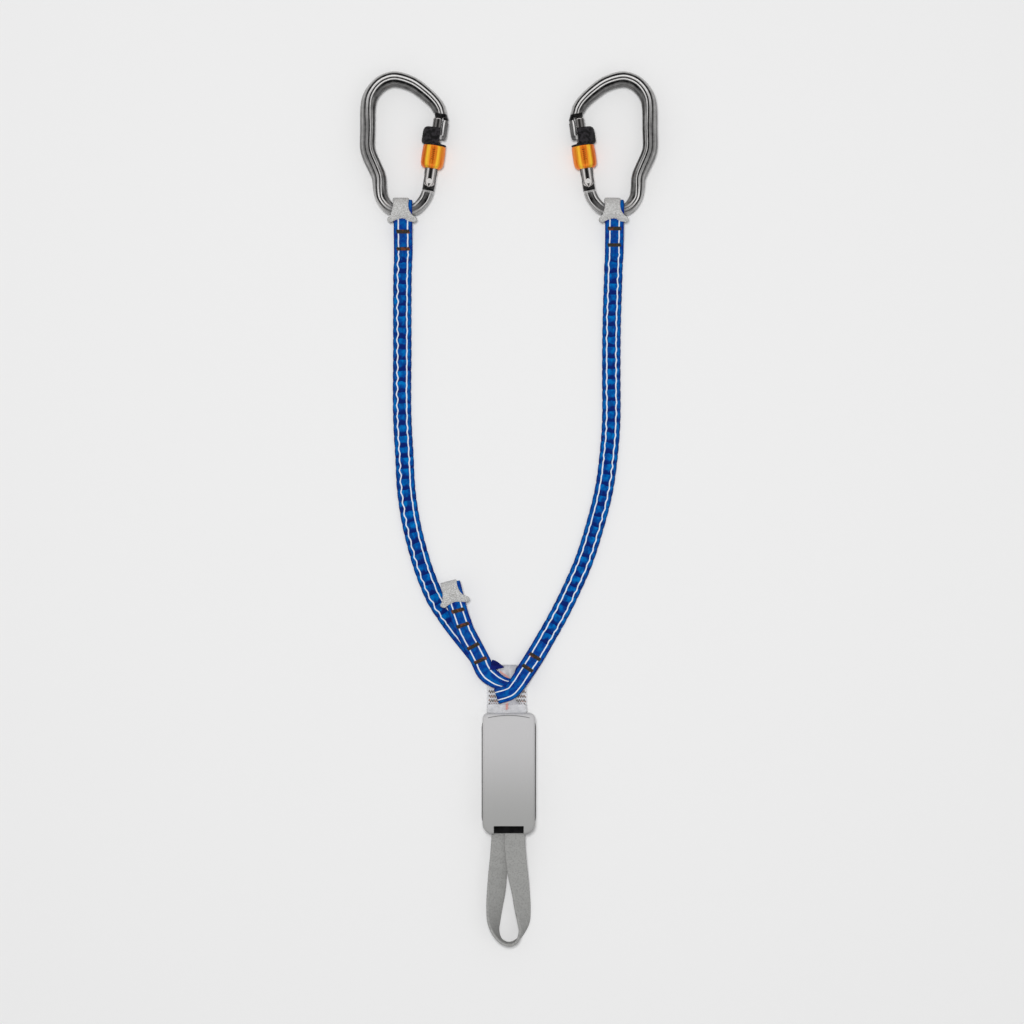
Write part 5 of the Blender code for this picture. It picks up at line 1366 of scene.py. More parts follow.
def make_top_loop():
    """The absorber's white top loop and the clear sheath round its foot."""
    name = "top_loop"
    tail_y = -POUCH_TOP - TOP_LOOP_TAIL
    rows = smooth_rows(TOP_LOOP_SHARES, 8)
    kept = [(point, row[3]) for point, row in zip(junction_points(rows), rows) if point.y > tail_y]
    first, last = (Vector((kept[i][0].x, tail_y, layer * LAYER_PITCH)) for i, layer in (
        (0, TOP_LOOP_SHARES[0][2]), (-1, TOP_LOOP_SHARES[-1][2])))
    points = [first] + [point for point, _ in kept] + [last]
    shares = [kept[0][1]] + [share for _, share in kept] + [kept[-1][1]]
    sides = [Vector((1, 0, 0))] * len(points)
    widths = [TOP_LOOP_WIDTH * share for share in shares]
    mesh = strap_mesh(name, points, sides, widths, TOP_LOOP_THICKNESS, TOP_LOOP_WIDTH)
    shown(name, mesh, "white", stands_for=["absorber_top_loop"])
    half = len(points) // 2
    make_sheath(list(reversed(points[:half])), points[half:])


def thread_run(places, height):
    """Points of a thread from places of the plan, at one height."""
    return [Vector((x, y, height)) for x, y in places]


def zigzag(start, end, swing, pitch):
    """Places of a zigzag stitch from one place to another."""
    run = Vector(end) - Vector(start)
    side = Vector((-run.y, run.x)).normalized() * swing
    steps = max(2, round(run.length / pitch)) * SWING_STEPS
    return [
        tuple(Vector(start) + run * (step / steps) + side * math.sin(math.tau * step / SWING_STEPS))
        for step in range(steps + 1)
    ]


def make_stitching():
    """The absorber's film and sewn rows: grey zigzags and pink edge stitches."""
    low = LAYER_PITCH * TOP_LOOP_SHARES[12][2] + TOP_LOOP_THICKNESS / 2
    high = low + FILM_THICKNESS
    left, right = (LOOP_MIDDLE + flip * SHEATH_WIDTH / 2 for flip in (-1, 1))
    sheet = block("film_sheet", (left, -POUCH_TOP + SHEATH_LENGTH, low), (right, -FILM_TOP, high), FILM_EDGE)
    shown("film_sheet", sheet, "film")
    rows = [
        thread_run(
            zigzag((ZIGZAG_LEFT, y), (ZIGZAG_RIGHT, y), ZIGZAG_SWING, ZIGZAG_PITCH), high + STITCH_RADIUS)
        for y in ZIGZAG_ROWS
    ]
    shown("absorber_stitches", thread_mesh("absorber_stitches", rows, STITCH_RADIUS), "ash")
    front = LAYER_PITCH * TOP_LOOP_SHARES[4][2] + TOP_LOOP_THICKNESS / 2 + STITCH_RADIUS
    edges = [thread_run(zigzag(*stitch), front) for stitch in EDGE_STITCHES]
    edges.append(thread_run(zigzag(*FOOT_STITCH), POUCH_MIDDLE))
    shown("loop_edge_stitches", thread_mesh("loop_edge_stitches", edges, STITCH_RADIUS), "pink")


def make_lid_seam():
    """The arched seam near the pouch's head."""
    head = POUCH_TOP + LID_DROP
    lid = []
    for step in range(-LID_STEPS, LID_STEPS + 1):
        share = step / LID_STEPS
        lid.append((LID_HALF * share, -head + LID_ARCH * (1 - share ** 2)))
    seam = thread_mesh("lid_seam", [thread_run(lid, POUCH_THICKNESS - POUCH_CROWN / 3)], STITCH_RADIUS)
    shown("lid_seam", seam, "silver")


def make_flap():
    """The raw end of the left arm's webbing, between the strap's two runs, in a darker blue as painted shade.
    """
    rows = smooth_rows(FLAP_ROWS, 4)
    points = [Vector(row[:3]) for row in rows]
    widths = [row[3] for row in rows]
    sides = [FLAP_ACROSS] * len(points)
    tones = [0.0] * len(points)
    mesh = strap_mesh("strap_flap", points, sides, widths, FLAP_THICKNESS, FLAP_WIDTH, tones)
    shown("strap_flap", mesh, "navy")


def loop_span(points, height):
    """Height over the floor of a run of points where it passes one y."""
    for a, b in zip(points, points[1:]):
        if a.y >= height >= b.y:
            return a.z + (b.z - a.z) * (a.y - height) / (a.y - b.y)
    return points[-1].z


def make_sheath(down, up):
    """A clear flat tube round both layers of the top loop, down to the pouch."""
    name = "sheath_tube"
    foot = -POUCH_TOP + CLEARANCE
    rings = []
    levels = [foot + SHEATH_LENGTH * step / 10 for step in range(11)]
    for wall, heights in ((SHEATH_WALL, levels), (0.0, list(reversed(levels)))):
        for y in heights:
            room = TOP_LOOP_THICKNESS * 0.9 + CLEARANCE + wall
            high = loop_span(down, y) + room
            low = max(loop_span(up, y) - room, CLEARANCE + SHEATH_WALL - wall)
            half = SHEATH_WIDTH / 2 - SHEATH_WALL + wall
            middle, rise = (high + low) / 2, (high - low) / 2
            rings.append([Vector((LOOP_MIDDLE + half * a, y, middle + rise * b)) for a, b in BAND])
    shown(name, swept(name, rings, loop=True), "film", stands_for=["loop_sheath"])


def pouch_outline(inset):
    """The pouch's outline, even points, with its own corners at head and foot."""
    arc_steps, long_steps, short_steps = 8, 30, 14
    half = POUCH_WIDTH / 2 - POUCH_TUCK - inset
    head, foot = -POUCH_TOP - inset, -POUCH_TOP - POUCH_LENGTH + inset
    corners = []
    for side, level, radius, start in (
        (1, 1, POUCH_TOP_CORNER, 0), (-1, 1, POUCH_TOP_CORNER, 90),
        (-1, -1, POUCH_FOOT_CORNER, 180), (1, -1, POUCH_FOOT_CORNER, 270),
    ):
        round_by = max(radius - inset, POUCH_WALL * max(0.05, 1 - inset / half))
        round_by = min(round_by, max(half, 1e-4))
        x = side * (half - round_by)
        y = head - round_by if level > 0 else foot + round_by
        corners.append(arc((x, y), round_by, start, start + 90, arc_steps))
    points = []
    for i, corner in enumerate(corners):
        points += corner
        after = corners[(i + 1) % 4][0]
        steps = short_steps if i % 2 == 0 else long_steps
        for step in range(1, steps):
            share = step / steps
            points.append((corner[-1][0] + (after[0] - corner[-1][0]) * share,
                           corner[-1][1] + (after[1] - corner[-1][1]) * share))
    return points


def pouch_half(name, face, split, crown):
    """One half of the pouch: a thin crowned tray with a sewn groove at its rim."""
    out = 1 if face > split else -1
    wall, edge = POUCH_WALL, POUCH_EDGE
    limit = POUCH_WIDTH / 2 - POUCH_TUCK - POUCH_MIDLINE
    rings = []

    def row(inset, z, alive=0.0):
        """One ring, so far in from the outline, with as much of the cloth's relief."""
        ring = []
        for x, y in pouch_outline(inset):
            lift = 0.0
            if alive:
                groove = -GROOVE_DEPTH * math.exp(-((inset - GROOVE_PLACE) / GROOVE_REACH) ** 2)
                ruffle = -RUFFLE_DEPTH * abs(noise.noise(Vector((x * 90, y * 60, face * 50))))
                lift = alive * (groove + ruffle)
            ring.append(Vector((x, y, z + out * lift)))
        return ring

    rings.append(row(limit, face - out * wall))
    rings.append(row(POUCH_CROWN * 3 + wall, face - out * wall))
    rings.append(row(edge * 0.6 + wall, face - out * (wall + crown)))
    rings.append(row(wall, face - out * (edge + crown)))
    rings.append(row(wall, split))
    rings.append(row(0.0, split))
    for step in range(9):
        angle = math.radians(step * 90 / 8)
        drop = edge * (1 - math.sin(angle))
        rings.append(row(edge * (1 - math.cos(angle)), face - out * (drop + crown)))
    steps = 30
    for step in range(1, steps + 1):
        inset = edge + (limit - edge) * step / steps
        rise = min(1.0, (inset - edge) / (POUCH_CROWN * 3 - edge))
        ease = math.sin(rise * math.pi / 2)
        rings.append(row(inset, face - out * crown * (1 - ease), alive=min(1.0, step / 2)))
    return swept(name, rings, sharp=50)


def block(name, low, high, round_by=0.0):
    """A block between two corners, its edges rounded where a size is given."""
    bm = bmesh.new()
    bmesh.ops.create_cube(bm, size=1)
    low, high = Vector(low), Vector(high)
    bmesh.ops.scale(bm, vec=high - low, verts=bm.verts)
    bmesh.ops.translate(bm, vec=(low + high) / 2, verts=bm.verts)
    if round_by:
        bmesh.ops.bevel(bm, geom=bm.edges, offset=round_by, segments=3, profile=0.5,
                        affect="EDGES", material=-1)
    return finished_mesh(name, bm)


def make_pouch():
    """The pouch's front and back halves, open where loops and tab pass through."""
    gap = PIPING_THICKNESS / 2 + CLEARANCE
    foot, head = -POUCH_FOOT, -POUCH_TOP
    left = TIE_WIDTH * (TIE_SHARES[0][0] - 0.5) - SLOT_EASE
    right = TIE_WIDTH * (TIE_SHARES[-1][0] + 0.5) + SLOT_EASE
    below = TIE_WIDTH * TIE_SHARES[0][2] - TIE_THICKNESS / 2 - SLOT_EASE
    above = TIE_WIDTH * TIE_SHARES[-1][2] + TIE_THICKNESS / 2 + SLOT_EASE
    slot = block("foot_slot", (left, foot - OVERRUN, below), (right, foot + SLOT_REACH, above))
    half = TAB_WIDTH / 2 + CLEARANCE
    high = POUCH_THICKNESS + OVERRUN
    opening = block(
        "tab_opening", (-half, foot - OVERRUN, below), (half, foot + TAB_LENGTH, high), OPENING_ROUND)
    half = TOP_LOOP_WIDTH * TOP_LOOP_SHARES[0][3] / 2 + SLOT_EASE
    low = LAYER_PITCH * TOP_LOOP_SHARES[-2][2] - TOP_LOOP_THICKNESS * 1.5
    high = LAYER_PITCH * TOP_LOOP_SHARES[0][2] + TOP_LOOP_THICKNESS
    mouth = block(
        "head_slot", (LOOP_MIDDLE - half, head - SLOT_REACH, low), (LOOP_MIDDLE + half, head + OVERRUN, high))
    for part, face, split, crown, cuts in (
        ("front", POUCH_THICKNESS, POUCH_MIDDLE + gap, POUCH_CROWN / 3, (slot, opening)),
        ("back", 0.0, POUCH_MIDDLE - gap, 0.0, (slot.copy(), mouth)),
    ):
        name = f"pouch_{part}_half"
        mesh = shaped(name, pouch_half(name, face, split, crown), [cut(tool) for tool in cuts], sharp=50)
        shown(name, mesh, "pouch", stands_for=[f"pouch_{part}"])


def make_piping():
    """A dark strip sewn between the pouch's halves at each side."""
    inner = POUCH_WIDTH / 2 - PIPING_DEPTH
    rim = POUCH_WIDTH / 2 - CLEARANCE
    top = -POUCH_TOP - POUCH_TOP_CORNER * 1.6
    low = -POUCH_FOOT + POUCH_FOOT_CORNER * 1.2
    half = PIPING_THICKNESS / 2
    section = ((0, -1), (0.6, -1), (0.9, -0.8), (1, 0), (0.9, 0.8), (0.6, 1), (0, 1))
    steps = 60
    for side, flip in (("left", -1), ("right", 1)):
        rings = []
        for step in range(steps + 1):
            share = step / steps
            y = top + (low - top) * share
            ease = min(1.0, min(share, 1 - share) * 20)
            out = rim + PIPING_PROUD * math.sin(ease * math.pi / 2)
            rings.append([
                Vector((flip * (inner + (out - inner) * a), y, POUCH_MIDDLE + half * b)) for a, b in section
            ])
        name = f"{side}_piping"
        shown(name, swept(name, rings), "piping", stands_for=[f"{side}_pouch_piping"])


def make_pack():
    """The tear webbing folded to and fro inside the pouch."""
    head = -POUCH_TOP - TOP_LOOP_TAIL - CLEARANCE
    foot = -POUCH_FOOT + TIE_TAIL + CLEARANCE
    pitch = PACK_SHEET + LAYER_GAP
    lowest = POUCH_WALL + CLEARANCE + PACK_SHEET / 2
    radius = pitch / 2
    near, far = head - radius - PACK_SHEET / 2, foot + radius + PACK_SHEET / 2
    points = []
    for fold in range(PACK_FOLDS):
        z = lowest + fold * pitch
        start, end = (near, far) if fold % 2 == 0 else (far, near)
        for step in range(7):
            points.append(Vector((0, start + (end - start) * step / 6, z)))
        if fold + 1 < PACK_FOLDS:
            away = -1 if end == far else 1
            for turn in range(30, 180, 30):
                angle = math.radians(turn)
                out = away * radius * 0.75 * math.sin(angle)
                points.append(Vector((0, end + out, z + radius * (1 - math.cos(angle)))))
    count = len(points)
    mesh = strap_mesh("folded_pack", points, [Vector((1, 0, 0))] * count, [PACK_WIDTH] * count,
                      PACK_SHEET, PACK_WIDTH)
    shown("folded_pack", mesh, "white", stands_for=["tear_webbing_pack"])


def make_tie_in_loop():
    """The tie-in loop: flat at the pouch, edge-on round its lowest point."""
    foot = -POUCH_FOOT
    drop = LANYARD_HALF - POUCH_FOOT - TIE_THICKNESS / 2
    rows = list(TIE_SHARES)
    head = -TIE_TAIL / drop
    rows = [(rows[0][0], head, *rows[0][2:])] + rows + [(rows[-1][0], head, *rows[-1][2:])]
    points, sides = [], []
    for x, y, z, turn in smooth_rows(rows, 16):
        angle = math.radians(turn)
        points.append(Vector((x * TIE_WIDTH, max(foot - drop * y, foot - drop), z * TIE_WIDTH)))
        sides.append(Vector((math.cos(angle), 0, -math.sin(angle))))
    widths = [
        TIE_WIDTH * (1 + TIE_EDGE_SHARE * math.sin(walked / TIE_EDGE_PITCH))
        for walked in lengths_along(points)
    ]
    mesh = strap_mesh("tie_loop", points, sides, widths, TIE_THICKNESS, TIE_WIDTH)
    shown("tie_loop", mesh, "grey", stands_for=["tie_in_loop"])


def make_tab():
    """A plain dark tab sewn over the tie-in loop at the pouch's foot."""
    half = TAB_WIDTH / 2
    foot = -POUCH_FOOT + CLEARANCE
    head = -POUCH_FOOT + TAB_LENGTH - CLEARANCE
    base = TIE_WIDTH * TIE_SHARES[-1][2] + TIE_THICKNESS / 2 + CLEARANCE
    steps = 24
    points = [
        Vector((-half + TAB_WIDTH * step / steps, (foot + head) / 2, base + TAB_THICKNESS / 2))
        for step in range(steps + 1)
    ]
    sides = [Vector((0, 1, 0))] * len(points)
    width = head - foot
    mesh = strap_mesh("foot_tab", points, sides, [width] * len(points), TAB_THICKNESS, width)
    shown("foot_tab", mesh, "tab", stands_for=["end_tab"])


def gate_point(across, along):
    """A place in the frame's plane from one beside and along the gate."""
    lean = Vector((math.sin(GATE_LEAN), math.cos(GATE_LEAN)))
    side = Vector((math.cos(GATE_LEAN), -math.sin(GATE_LEAN)))
    return RIVET + side * across + lean * along


def fine_half(shares):
    """A half section with a point more between each two of its own."""
    return smooth_rows(shares, 2)


def bar_ring(outer, inner, width, half_section):
    """One ring of the frame between an outer and an inner point, with the painted brightness at each point.
    """
    middle = (outer + inner) / 2
    reach = (inner - outer) / 2
    back = [(depth, -rise, tone) for depth, rise, tone in half_section[-2:0:-1]]
    ring, shades = [], []
    for depth, rise, tone in list(half_section) + back:
        depth = max(-1.0, min(1.0, depth))
        ring.append(Vector((*(middle + reach * depth), width / 2 * rise)))
        shades.append(max(0.0, tone))
    return ring, shades


def mixed_section(beam, pocket, crown=1.0):
    """A half section part way between round bar, ribbed beam and pocket."""
    rows = []
    for plain, high, low, hollow in zip(ROUND_SHARES, CROWN_SHARES, SPINE_SHARES, POCKET_SHARES):
        rows.append(tuple(
            p * (1 - beam - pocket) + (h * crown + s * (1 - crown)) * beam + o * pocket
            for p, h, s, o in zip(plain, high, low, hollow)
        ))
    return fine_half(rows)


def nose_face_point(across):
    """A place on the nose's slanted end face, so far beside the gate's line."""
    slope = math.tan(NOSE_SLANT)
    return gate_point(across, GATE_LENGTH + slope * (NOSE_OFFSET * 2 - across) - LIP_DEPTH / 3)


def with_painted_light(section, tone):
    """The same half section with one painted brightness all round."""
    return [(depth, rise, tone) for depth, rise, _ in section]


def nose_rings(plain):
    """Rings of the keylock nose, from its hooked lip to its end face, and the two
    ends of its last ring."""
    inner, outer = NOSE_OFFSET, NOSE_OFFSET + NOSE_DEPTH
    foot = GATE_LENGTH - NOSE_REACH
    lip_top = foot + LIP_LENGTH
    ease = LIP_DEPTH / 3
    crown = GATE_LENGTH - CLEARANCE
    face_inner = -NOSE_INSET_SHARE * GATE_RADIUS
    rows = (
        (inner - LIP_DEPTH + ease, outer - 2 * ease, foot, foot, 0.85),
        (inner - LIP_DEPTH, outer - ease, foot + ease, foot + ease, 1.0),
        (inner - LIP_DEPTH, outer, lip_top - CLEARANCE, lip_top - CLEARANCE, 1.0),
        (inner, outer, lip_top, lip_top, 1.0),
        (inner, outer, crown - NECK_LENGTH * 0.6, crown - NECK_LENGTH * 1.1, 1.0),
        (inner + NECK_RECESS, outer - NECK_RECESS, crown - NECK_LENGTH * 0.55, crown - NECK_LENGTH,
         NECK_SHARE),
    )
    # Painted shadow: the neck and its end face are black, standing for the shadowed gap at the bar's end
    black = with_painted_light(plain, 0.0)
    # Painted highlight: a pale streak along the nose's front, the rest dimmer
    painted_streak = [
        (depth, rise, 0.90 * math.exp(-((depth - 0.35) / 0.26) ** 2) + 0.12) for depth, rise, _ in plain
    ]
    rings = [
        bar_ring(gate_point(b, high), gate_point(a, low), NOSE_WIDTH * share, painted_streak)
        for a, b, low, high, share in rows
    ]
    neck_width = NOSE_WIDTH * NECK_SHARE
    for rise, look in ((0.40, painted_streak), (0.36, black)):
        rings.append(bar_ring(
            gate_point(outer - NECK_RECESS, crown - NECK_LENGTH * rise),
            gate_point(inner + NECK_RECESS, crown - NECK_LENGTH * rise), neck_width, look))
    neck = (nose_face_point(outer - NECK_RECESS), nose_face_point(inner + NECK_RECESS))
    rings.append(bar_ring(*neck, neck_width, black))
    # Painted shadow: the bar's end face round the nose is black
    dark = with_painted_light(mixed_section(NOSE_ROOT_SHARE, 0), 0.0)
    rim = (nose_face_point(outer - ease), nose_face_point(face_inner))
    rings.append(bar_ring(*rim, BAR_WIDTH * 0.97, dark))
    near = (nose_face_point(outer - ease * 0.4), nose_face_point(face_inner - ease * 0.4))
    rings.append(bar_ring(*near, BAR_WIDTH, dark))
    return rings, near


def spine_rings(near):
    """Rings of the bar from the nose's end face over the crown, down the spine and
    through the basket, and the two ends of its last ring."""
    root = mixed_section(NOSE_ROOT_SHARE, 0)
    path = smooth_rows([(*row, crown) for row, crown in zip(BAR_SHARES, CROWN_ROWS)], 8)
    points = [Vector((row[0] * FRAME_REACH, row[1] * FRAME_RISE)) for row in path]
    shoulder = gate_point(0, -TONGUE_LENGTH)
    rings = []
    for i, row in enumerate(path):
        before = points[max(i - 1, 0)]
        after = points[i + 1] if i + 1 < len(points) else shoulder
        run = (after - before).normalized()
        outward = Vector((run.y, -run.x)) * (BAR_DEPTH * row[2] / 2)
        ends = (points[i] + outward, points[i] - outward)
        beam, pocket, crown = (max(0.0, min(1.0, value)) for value in row[4:])
        # Painted shadow: a black band where the bar leaves the nose's end face
        if not i:
            for share, look in ((0.36, with_painted_light(root, 0.0)), (0.42, root)):
                rings.append(bar_ring(*(a.lerp(b, share) for a, b in zip(near, ends)), BAR_WIDTH, look))
        rings.append(bar_ring(*ends, BAR_WIDTH * row[3], mixed_section(beam, pocket, crown)))
    return rings, ends


def hinge_rings(before, plain):
    """Rings of the end of the bar, painted in bands of highlight and shadow, and of the flat tongue in the
    gate's fork, painted dark as in shade.
    """
    tail = BAR_DEPTH * BAR_SHARES[-1][2] / 2
    ends = (gate_point(tail, -TONGUE_LENGTH), gate_point(-tail, -TONGUE_LENGTH))
    rings = []
    for share, tone in HINGE_PAINTED_BANDS:
        between = (a.lerp(b, share) for a, b in zip(before, ends))
        rings.append(bar_ring(*between, BAR_WIDTH, with_painted_light(plain, tone)))
    plate = [(depth, min(1.0, rise), tone) for depth, rise, tone in fine_half(PLATE_SHARES)]
    for turn in (-1, 0, 12, 22, 32, 42, 52, 60, 68, 75, 82):
        half = TONGUE_RADIUS * (math.cos(math.radians(turn)) if turn > 0 else 1)
        along = TONGUE_RADIUS * math.sin(math.radians(turn)) if turn >= 0 else -TONGUE_LENGTH
        rings.append(bar_ring(gate_point(half, along), gate_point(-half, along), TONGUE_THICKNESS, plate))
    return rings


def frame_rings():
    """Rings of the forged frame, with their painted highlights and shade: nose, crown, spine, basket and
    tongue.
    """
    plain = fine_half(ROUND_SHARES)
    nose, near = nose_rings(plain)
    spine, before = spine_rings(near)
    return nose + spine + hinge_rings(before, plain)


def make_frames():
    """Both forged frames."""
    pairs = frame_rings()
    rings = [ring for ring, _ in pairs]
    shades = [tones for _, tones in pairs]
    middles = [sum(ring, Vector()) / len(ring) for ring in rings]
    reach = lengths_along(middles)
    # The tone mark carries each ring's painted highlights and shade
    marks = {
        "tone": lambda row, column: shades[row][column],
        "along": lambda row, column: reach[row],
        "across": lambda row, column: (rings[row][column] - middles[row]).to_2d().length,
    }
    mesh = swept("frame_bar", rings, marks, sharp=50)
    pair("frame_bar", placed(mesh, EYE_PLACE), "forged", "carabiner", ["frame"])


def make_nose_gap_shadows():
    """Black blocks in the gaps between the noses and the bars, standing for the shadow there: painted shadow.
    """
    slope = math.tan(NOSE_SLANT)
    low = GATE_LENGTH + GAP_SHADOW_FOOT
    rings = []
    for share in (0.0, 1.0):
        ring = []
        for across, z in ((-GAP_SHADOW_IN, -1), (GAP_SHADOW_OUT, -1), (GAP_SHADOW_OUT, 1), (-GAP_SHADOW_IN, 1)):
            top = GATE_LENGTH + slope * (NOSE_OFFSET * 2 - across) + GAP_SHADOW_RISE
            ring.append(Vector((across, low + (top - low) * share, z * GAP_SHADOW_HALF)))
        rings.append(ring)
    seat = placed(swept("nose_gap_shadow", rings), GATE_PLACE)
    pair("nose_gap_shadow", seat, "seat", "carabiner")


def turned_sleeve(name, profile, segments, flutes, every):
    """A ring turned about the gate's length, with shallow flutes on some of its rows."""
    rings = []
    for step in range(segments):
        angle = math.tau * step / segments
        ring = []
        for row, (radius, along) in enumerate(profile):
            reach = radius - (FLUTE_DEPTH if row in flutes and step % every == 0 else 0)
            ring.append(Vector((reach * math.cos(angle), along, reach * math.sin(angle))))
        rings.append(ring)
    marks = {
        "along": lambda row, column: profile[column % len(profile)][1],
        "across": lambda row, column: SLEEVE_DIAMETER / 2 * math.cos(math.tau * row / segments),
        "tone": lambda row, column: 1.0,
    }
    return swept(name, rings, marks, loop=True)


def rod_rings(profile, segments, axis="Y"):
    """Rings of a capped rod from rows of radius and place."""
    rings = []
    for radius, along in profile:
        ring = []
        for step in range(segments):
            angle = math.tau * step / segments
            a, b = radius * math.cos(angle), radius * math.sin(angle)
            ring.append(Vector((a, along, b) if axis == "Y" else (a, b, along)))
        rings.append(ring)
    return rings


def gate_painted_light(place):
    """Painted reflection and shade on the gate: dark flanks, a dark middle down to the flange by the fork,
    and a dim tip above the collar.
    """
    side = abs(place.x) / GATE_RADIUS
    flank = 1 - min(1.0, max(0.0, (side - 0.72) / 0.12))
    if side < 0.3 and 0 <= place.y <= FLANGE_FOOT:
        return 0.22
    dull = COLLAR_FOOT + GATE_CHAMFER / 2 < place.y < GATE_LENGTH - 2.2 * GATE_CHAMFER
    return flank * (0.24 if dull else 1.0)


def make_gates():
    """Both gates, notched for the nose and forked for the hinge tongue."""
    flange = FLANGE_DIAMETER / 2
    tip = GATE_LENGTH
    tip_radius = GATE_TIP_DIAMETER / 2
    rings = []
    for turn in (80, 65, 50, 36, 24, 12):
        half = GATE_RADIUS * math.cos(math.radians(turn))
        along = -GATE_RADIUS * math.sin(math.radians(turn))
        rings.append([
            Vector((half * math.cos(math.tau * i / 48), along, GATE_RADIUS * math.sin(math.tau * i / 48)))
            for i in range(48)
        ])
    profile = (
        (GATE_RADIUS, 0.0), (GATE_RADIUS, FLANGE_FOOT), (flange, FLANGE_FOOT),
        (flange, FLANGE_FOOT + FLANGE_LENGTH), (GATE_RADIUS, FLANGE_FOOT + FLANGE_LENGTH),
        (GATE_RADIUS, COLLAR_FOOT + GATE_CHAMFER),
        (tip_radius, COLLAR_FOOT + GATE_CHAMFER + GATE_RADIUS - tip_radius),
        (tip_radius, tip - 2.5 * GATE_CHAMFER), (tip_radius * 0.985, tip - 1.6 * GATE_CHAMFER),
        (tip_radius * 0.93, tip - 0.8 * GATE_CHAMFER), (tip_radius * 0.80, tip - 0.2 * GATE_CHAMFER),
        (tip_radius * 0.62, tip),
    )
    rings += rod_rings(profile, 48)
    body = swept("gate_rod", rings)
    foot = GATE_LENGTH - NOSE_REACH - 2.5 * CLEARANCE
    lip_top = GATE_LENGTH - NOSE_REACH + LIP_LENGTH + CLEARANCE
    flat = NOSE_OFFSET - 1.5 * CLEARANCE
    deep = flat - LIP_DEPTH
    out, top = GATE_RADIUS + OVERRUN, GATE_LENGTH + OVERRUN
    outline = ((deep, foot), (out, foot), (out, top), (flat, top), (flat, lip_top), (deep, lip_top))
    notch = swept("gate_notch", [[Vector((a, b, z)) for a, b in outline] for z in (-out, out)])
    slot_half = TONGUE_THICKNESS / 2 + CLEARANCE
    fork = block("gate_fork", (-out, -out, -slot_half), (out, SLOT_DEPTH, slot_half))
    gate = shaped("gate_rod", body, [cut(notch), cut(fork)], sharp=35)
    marked(gate, "tone", gate_painted_light)
    pair("gate_rod", placed(gate, GATE_PLACE), "gate", "gate", ["gate"])


def make_rivets():
    """Both hinge rivets, with low domed heads."""
    proud = GATE_RADIUS + RIVET_PROUD
    head = RIVET_DIAMETER / 2
    dome = ((0.35, 0.0), (0.70, 0.07), (0.88, 0.18), (0.97, 0.34), (1.0, 0.55))
    rows = [(head * a, -proud + RIVET_PROUD * 1.5 * b) for a, b in dome]
    rows += [(head * a, proud - RIVET_PROUD * 1.5 * b) for a, b in reversed(dome)]
    rivet = swept("hinge_rivet", rod_rings(rows, 32, "Z"))
    pair("hinge_rivet", placed(rivet, GATE_PLACE), "rivet", "carabiner", ["gate_rivet"])


def make_sleeves():
    """Both orange sleeves, which end in an inner lip at the foot."""
    full = SLEEVE_DIAMETER / 2
    bore = GATE_RADIUS + CLEARANCE
    hollow = FLANGE_DIAMETER / 2 + CLEARANCE
    low, high = SLEEVE_FOOT, SLEEVE_TOP
    shares = (
        (0.72, 0.00), (0.87, 0.07), (0.96, 0.16), (0.99, 0.28), (1.00, 0.42),
        (1.00, 0.46), (1.00, 0.74), (0.99, 0.78), (0.98, 0.94), (0.94, 1.00),
    )
    outer = smooth_rows(shares, 4)
    profile = [(full * min(a, 1.0), low + SLEEVE_LENGTH * b) for a, b in outer]
    profile += [(hollow, high), (hollow, low + SLEEVE_LIP), (bore, low + SLEEVE_LIP), (bore, low)]
    flutes = [i for i, (_, b) in enumerate(outer) if 0.45 < b < 0.75]
    sleeve = placed(turned_sleeve("lock_sleeve_body", profile, 84, flutes, every=3), GATE_PLACE)
    pair("lock_sleeve_body", sleeve, "sleeve", "lock", ["lock_sleeve"])


def make_grip_ticks():
    """Raised grip ticks across each sleeve, on its front and back."""
    full = SLEEVE_DIAMETER / 2
    middle = SLEEVE_FOOT + SLEEVE_LENGTH * TICK_MIDDLE_SHARE
    section = ((-1, -1.6), (-0.7, 0.7), (0, 1.1), (0.7, 0.7), (1, -1.6))
    steps = 8
    bm = bmesh.new()
    for facing in (1, -1):
        for tick in range(GRIP_TICKS):
            along = middle + (tick - (GRIP_TICKS - 1) / 2) * TICK_PITCH
            rings = []
            for step in range(steps + 1):
                x = TICK_WIDTH / 2 * (-1 + 2 * step / steps)
                angle = math.asin(x / full)
                centre = Vector((x, along, facing * full * math.cos(angle)))
                normal = Vector((math.sin(angle), 0, facing * math.cos(angle)))
                rings.append([
                    centre + normal * (TICK_RISE * b) + Vector((0, TICK_HALF * a, 0)) for a, b in section
                ])
            piece = swept("tick", rings)
            bm.from_mesh(piece)
            bpy.data.meshes.remove(piece)
    ticks = placed(finished_mesh("grip_ticks", bm), GATE_PLACE)
    pair("grip_ticks", ticks, "tick", "lock")


def make_lock_springs():
    """The coils between flange and collar, in one fixed shape; the real ones close up as the sleeve slides.
    """
    radius = (GATE_RADIUS + FLANGE_DIAMETER / 2) / 2
    low = FLANGE_FOOT + FLANGE_LENGTH + CLEARANCE
    high = COLLAR_FOOT - COLLAR_RING - CLEARANCE
    wire = LOCK_SPRING_WIRE / 2
    steps = LOCK_SPRING_CURLS * 24
    along = Vector((0, 1, 0))
    rings = []
    for step in range(steps + 1):
        angle = math.tau * step / 24
        out = Vector((math.cos(angle), 0, math.sin(angle)))
        centre = out * radius + along * (low + wire + (high - low - 2 * wire) * step / steps)
        rings.append([
            centre + (out * math.cos(math.tau * k / 10) + along * math.sin(math.tau * k / 10)) * wire
            for k in range(10)
        ])
    mesh = placed(swept("lock_coil", rings), GATE_PLACE)
    other = mirrored(mesh)
    for side, flip, data in (("left", 1, mesh), ("right", -1, other)):
        coil = shown(
            f"{side}_lock_coil", data, "spring", f"{side}_gate", [f"{side}_sleeve_spring"])
        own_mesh(coil)


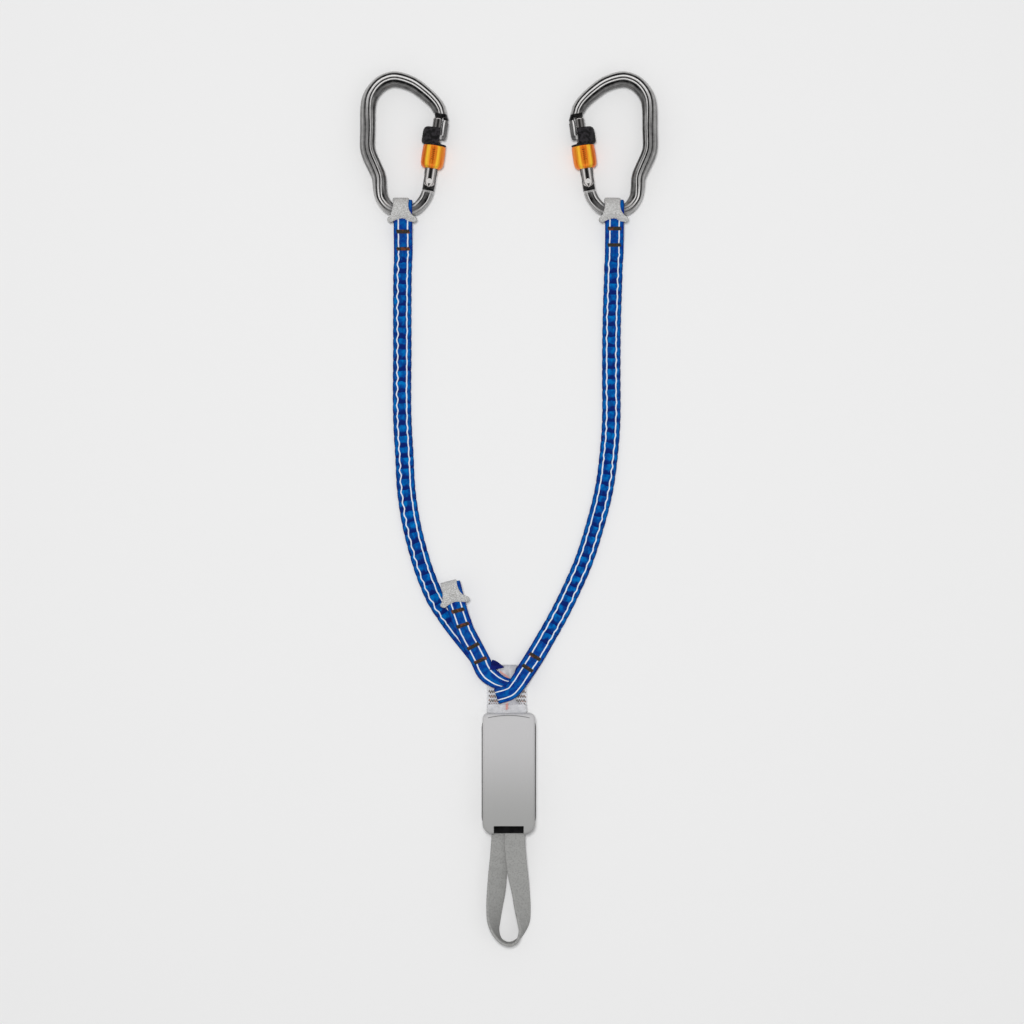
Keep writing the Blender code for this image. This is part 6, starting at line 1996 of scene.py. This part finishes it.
def make_collars():
    """The black collars: a ring on the sleeve and a ribbed hood round the gate."""
    bore = GATE_RADIUS + CLEARANCE
    ring = COLLAR_RING_DIAMETER / 2
    low, high = COLLAR_FOOT - COLLAR_RING, COLLAR_TOP
    join = low + COLLAR_RING
    rows = ((ring * 0.95, low), (ring * 0.99, low + COLLAR_RING * 0.2), (ring, low + COLLAR_RING * 0.5),
            (ring * 0.99, low + COLLAR_RING * 0.85), (ring * 0.96, join))
    base = swept("collar_ring", rod_rings(rows, 56))
    side_flat = NOSE_OFFSET - 1.5 * CLEARANCE
    hood_shares = (
        (0.88, 0.96, 0.0), (0.97, 0.99, 0.07), (1.0, 1.0, 0.16), (1.0, 1.0, 0.30), (1.0, 1.0, 0.44),
        (1.0, 0.99, 0.58), (0.99, 0.98, 0.70), (0.965, 0.94, 0.83), (0.90, 0.86, 0.93), (0.78, 0.72, 1.0),
    )
    rings = []
    start = join - COLLAR_RING / 2
    for i, (bulge_share, width_share, along_share) in enumerate(smooth_rows(hood_shares, 4)):
        ribbed = 1 - (0.012 if i % 4 in (1, 2) else 0.0)
        bulge = COLLAR_BULGE * bulge_share * ribbed
        half = COLLAR_WIDTH / 2 * width_share * ribbed
        along = start + (high - start) * along_share
        shape = [(side_flat, half)] + arc((0, 0), 1, 90, 270, 30) + [(side_flat, -half)]
        points = [shape[0]] + [(a * bulge, b * half) for a, b in shape[1:-1]] + [shape[-1]]
        rings.append([Vector((a, along, b)) for a, b in points])
    hood = swept("collar_hood", rings)
    hole = swept("collar_bore", rod_rings(((bore, low - OVERRUN), (bore, high + OVERRUN)), 40))
    collar = shaped("lock_collar_body", base, [cut(hood, "UNION"), cut(hole)], sharp=38)
    pair("lock_collar_body", placed(collar, GATE_PLACE), "collar", "lock", ["lock_collar"])


def dress_frame_nodes(nodes):
    """Better materials on the nodes that stay: plungers and springs."""
    for name, look in (("gate_plunger", "steel"), ("gate_spring", "spring")):
        for side in ("left", "right"):
            node = nodes[f"{side}_{name}"]
            node.data.materials.clear()
            node.data.materials.append(LOOKS[look])


def main():
    """Every piece of the lanyard, in its place on the frame."""
    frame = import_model()
    make_looks()
    make_camera()
    make_floor()
    make_studio()
    for side in ("left", "right"):
        make_arm(side)
    for side in ("left", "right"):
        make_eye(side)
    make_right_junction()
    make_left_junction()
    make_keepers()
    make_top_loop()
    make_stitching()
    make_lid_seam()
    make_flap()
    make_pouch()
    make_piping()
    make_pack()
    make_tie_in_loop()
    make_tab()
    make_frames()
    make_nose_gap_shadows()
    make_gates()
    make_rivets()
    make_sleeves()
    make_grip_ticks()
    make_collars()
    make_lock_springs()
    dress_frame_nodes(frame["nodes"])


main()
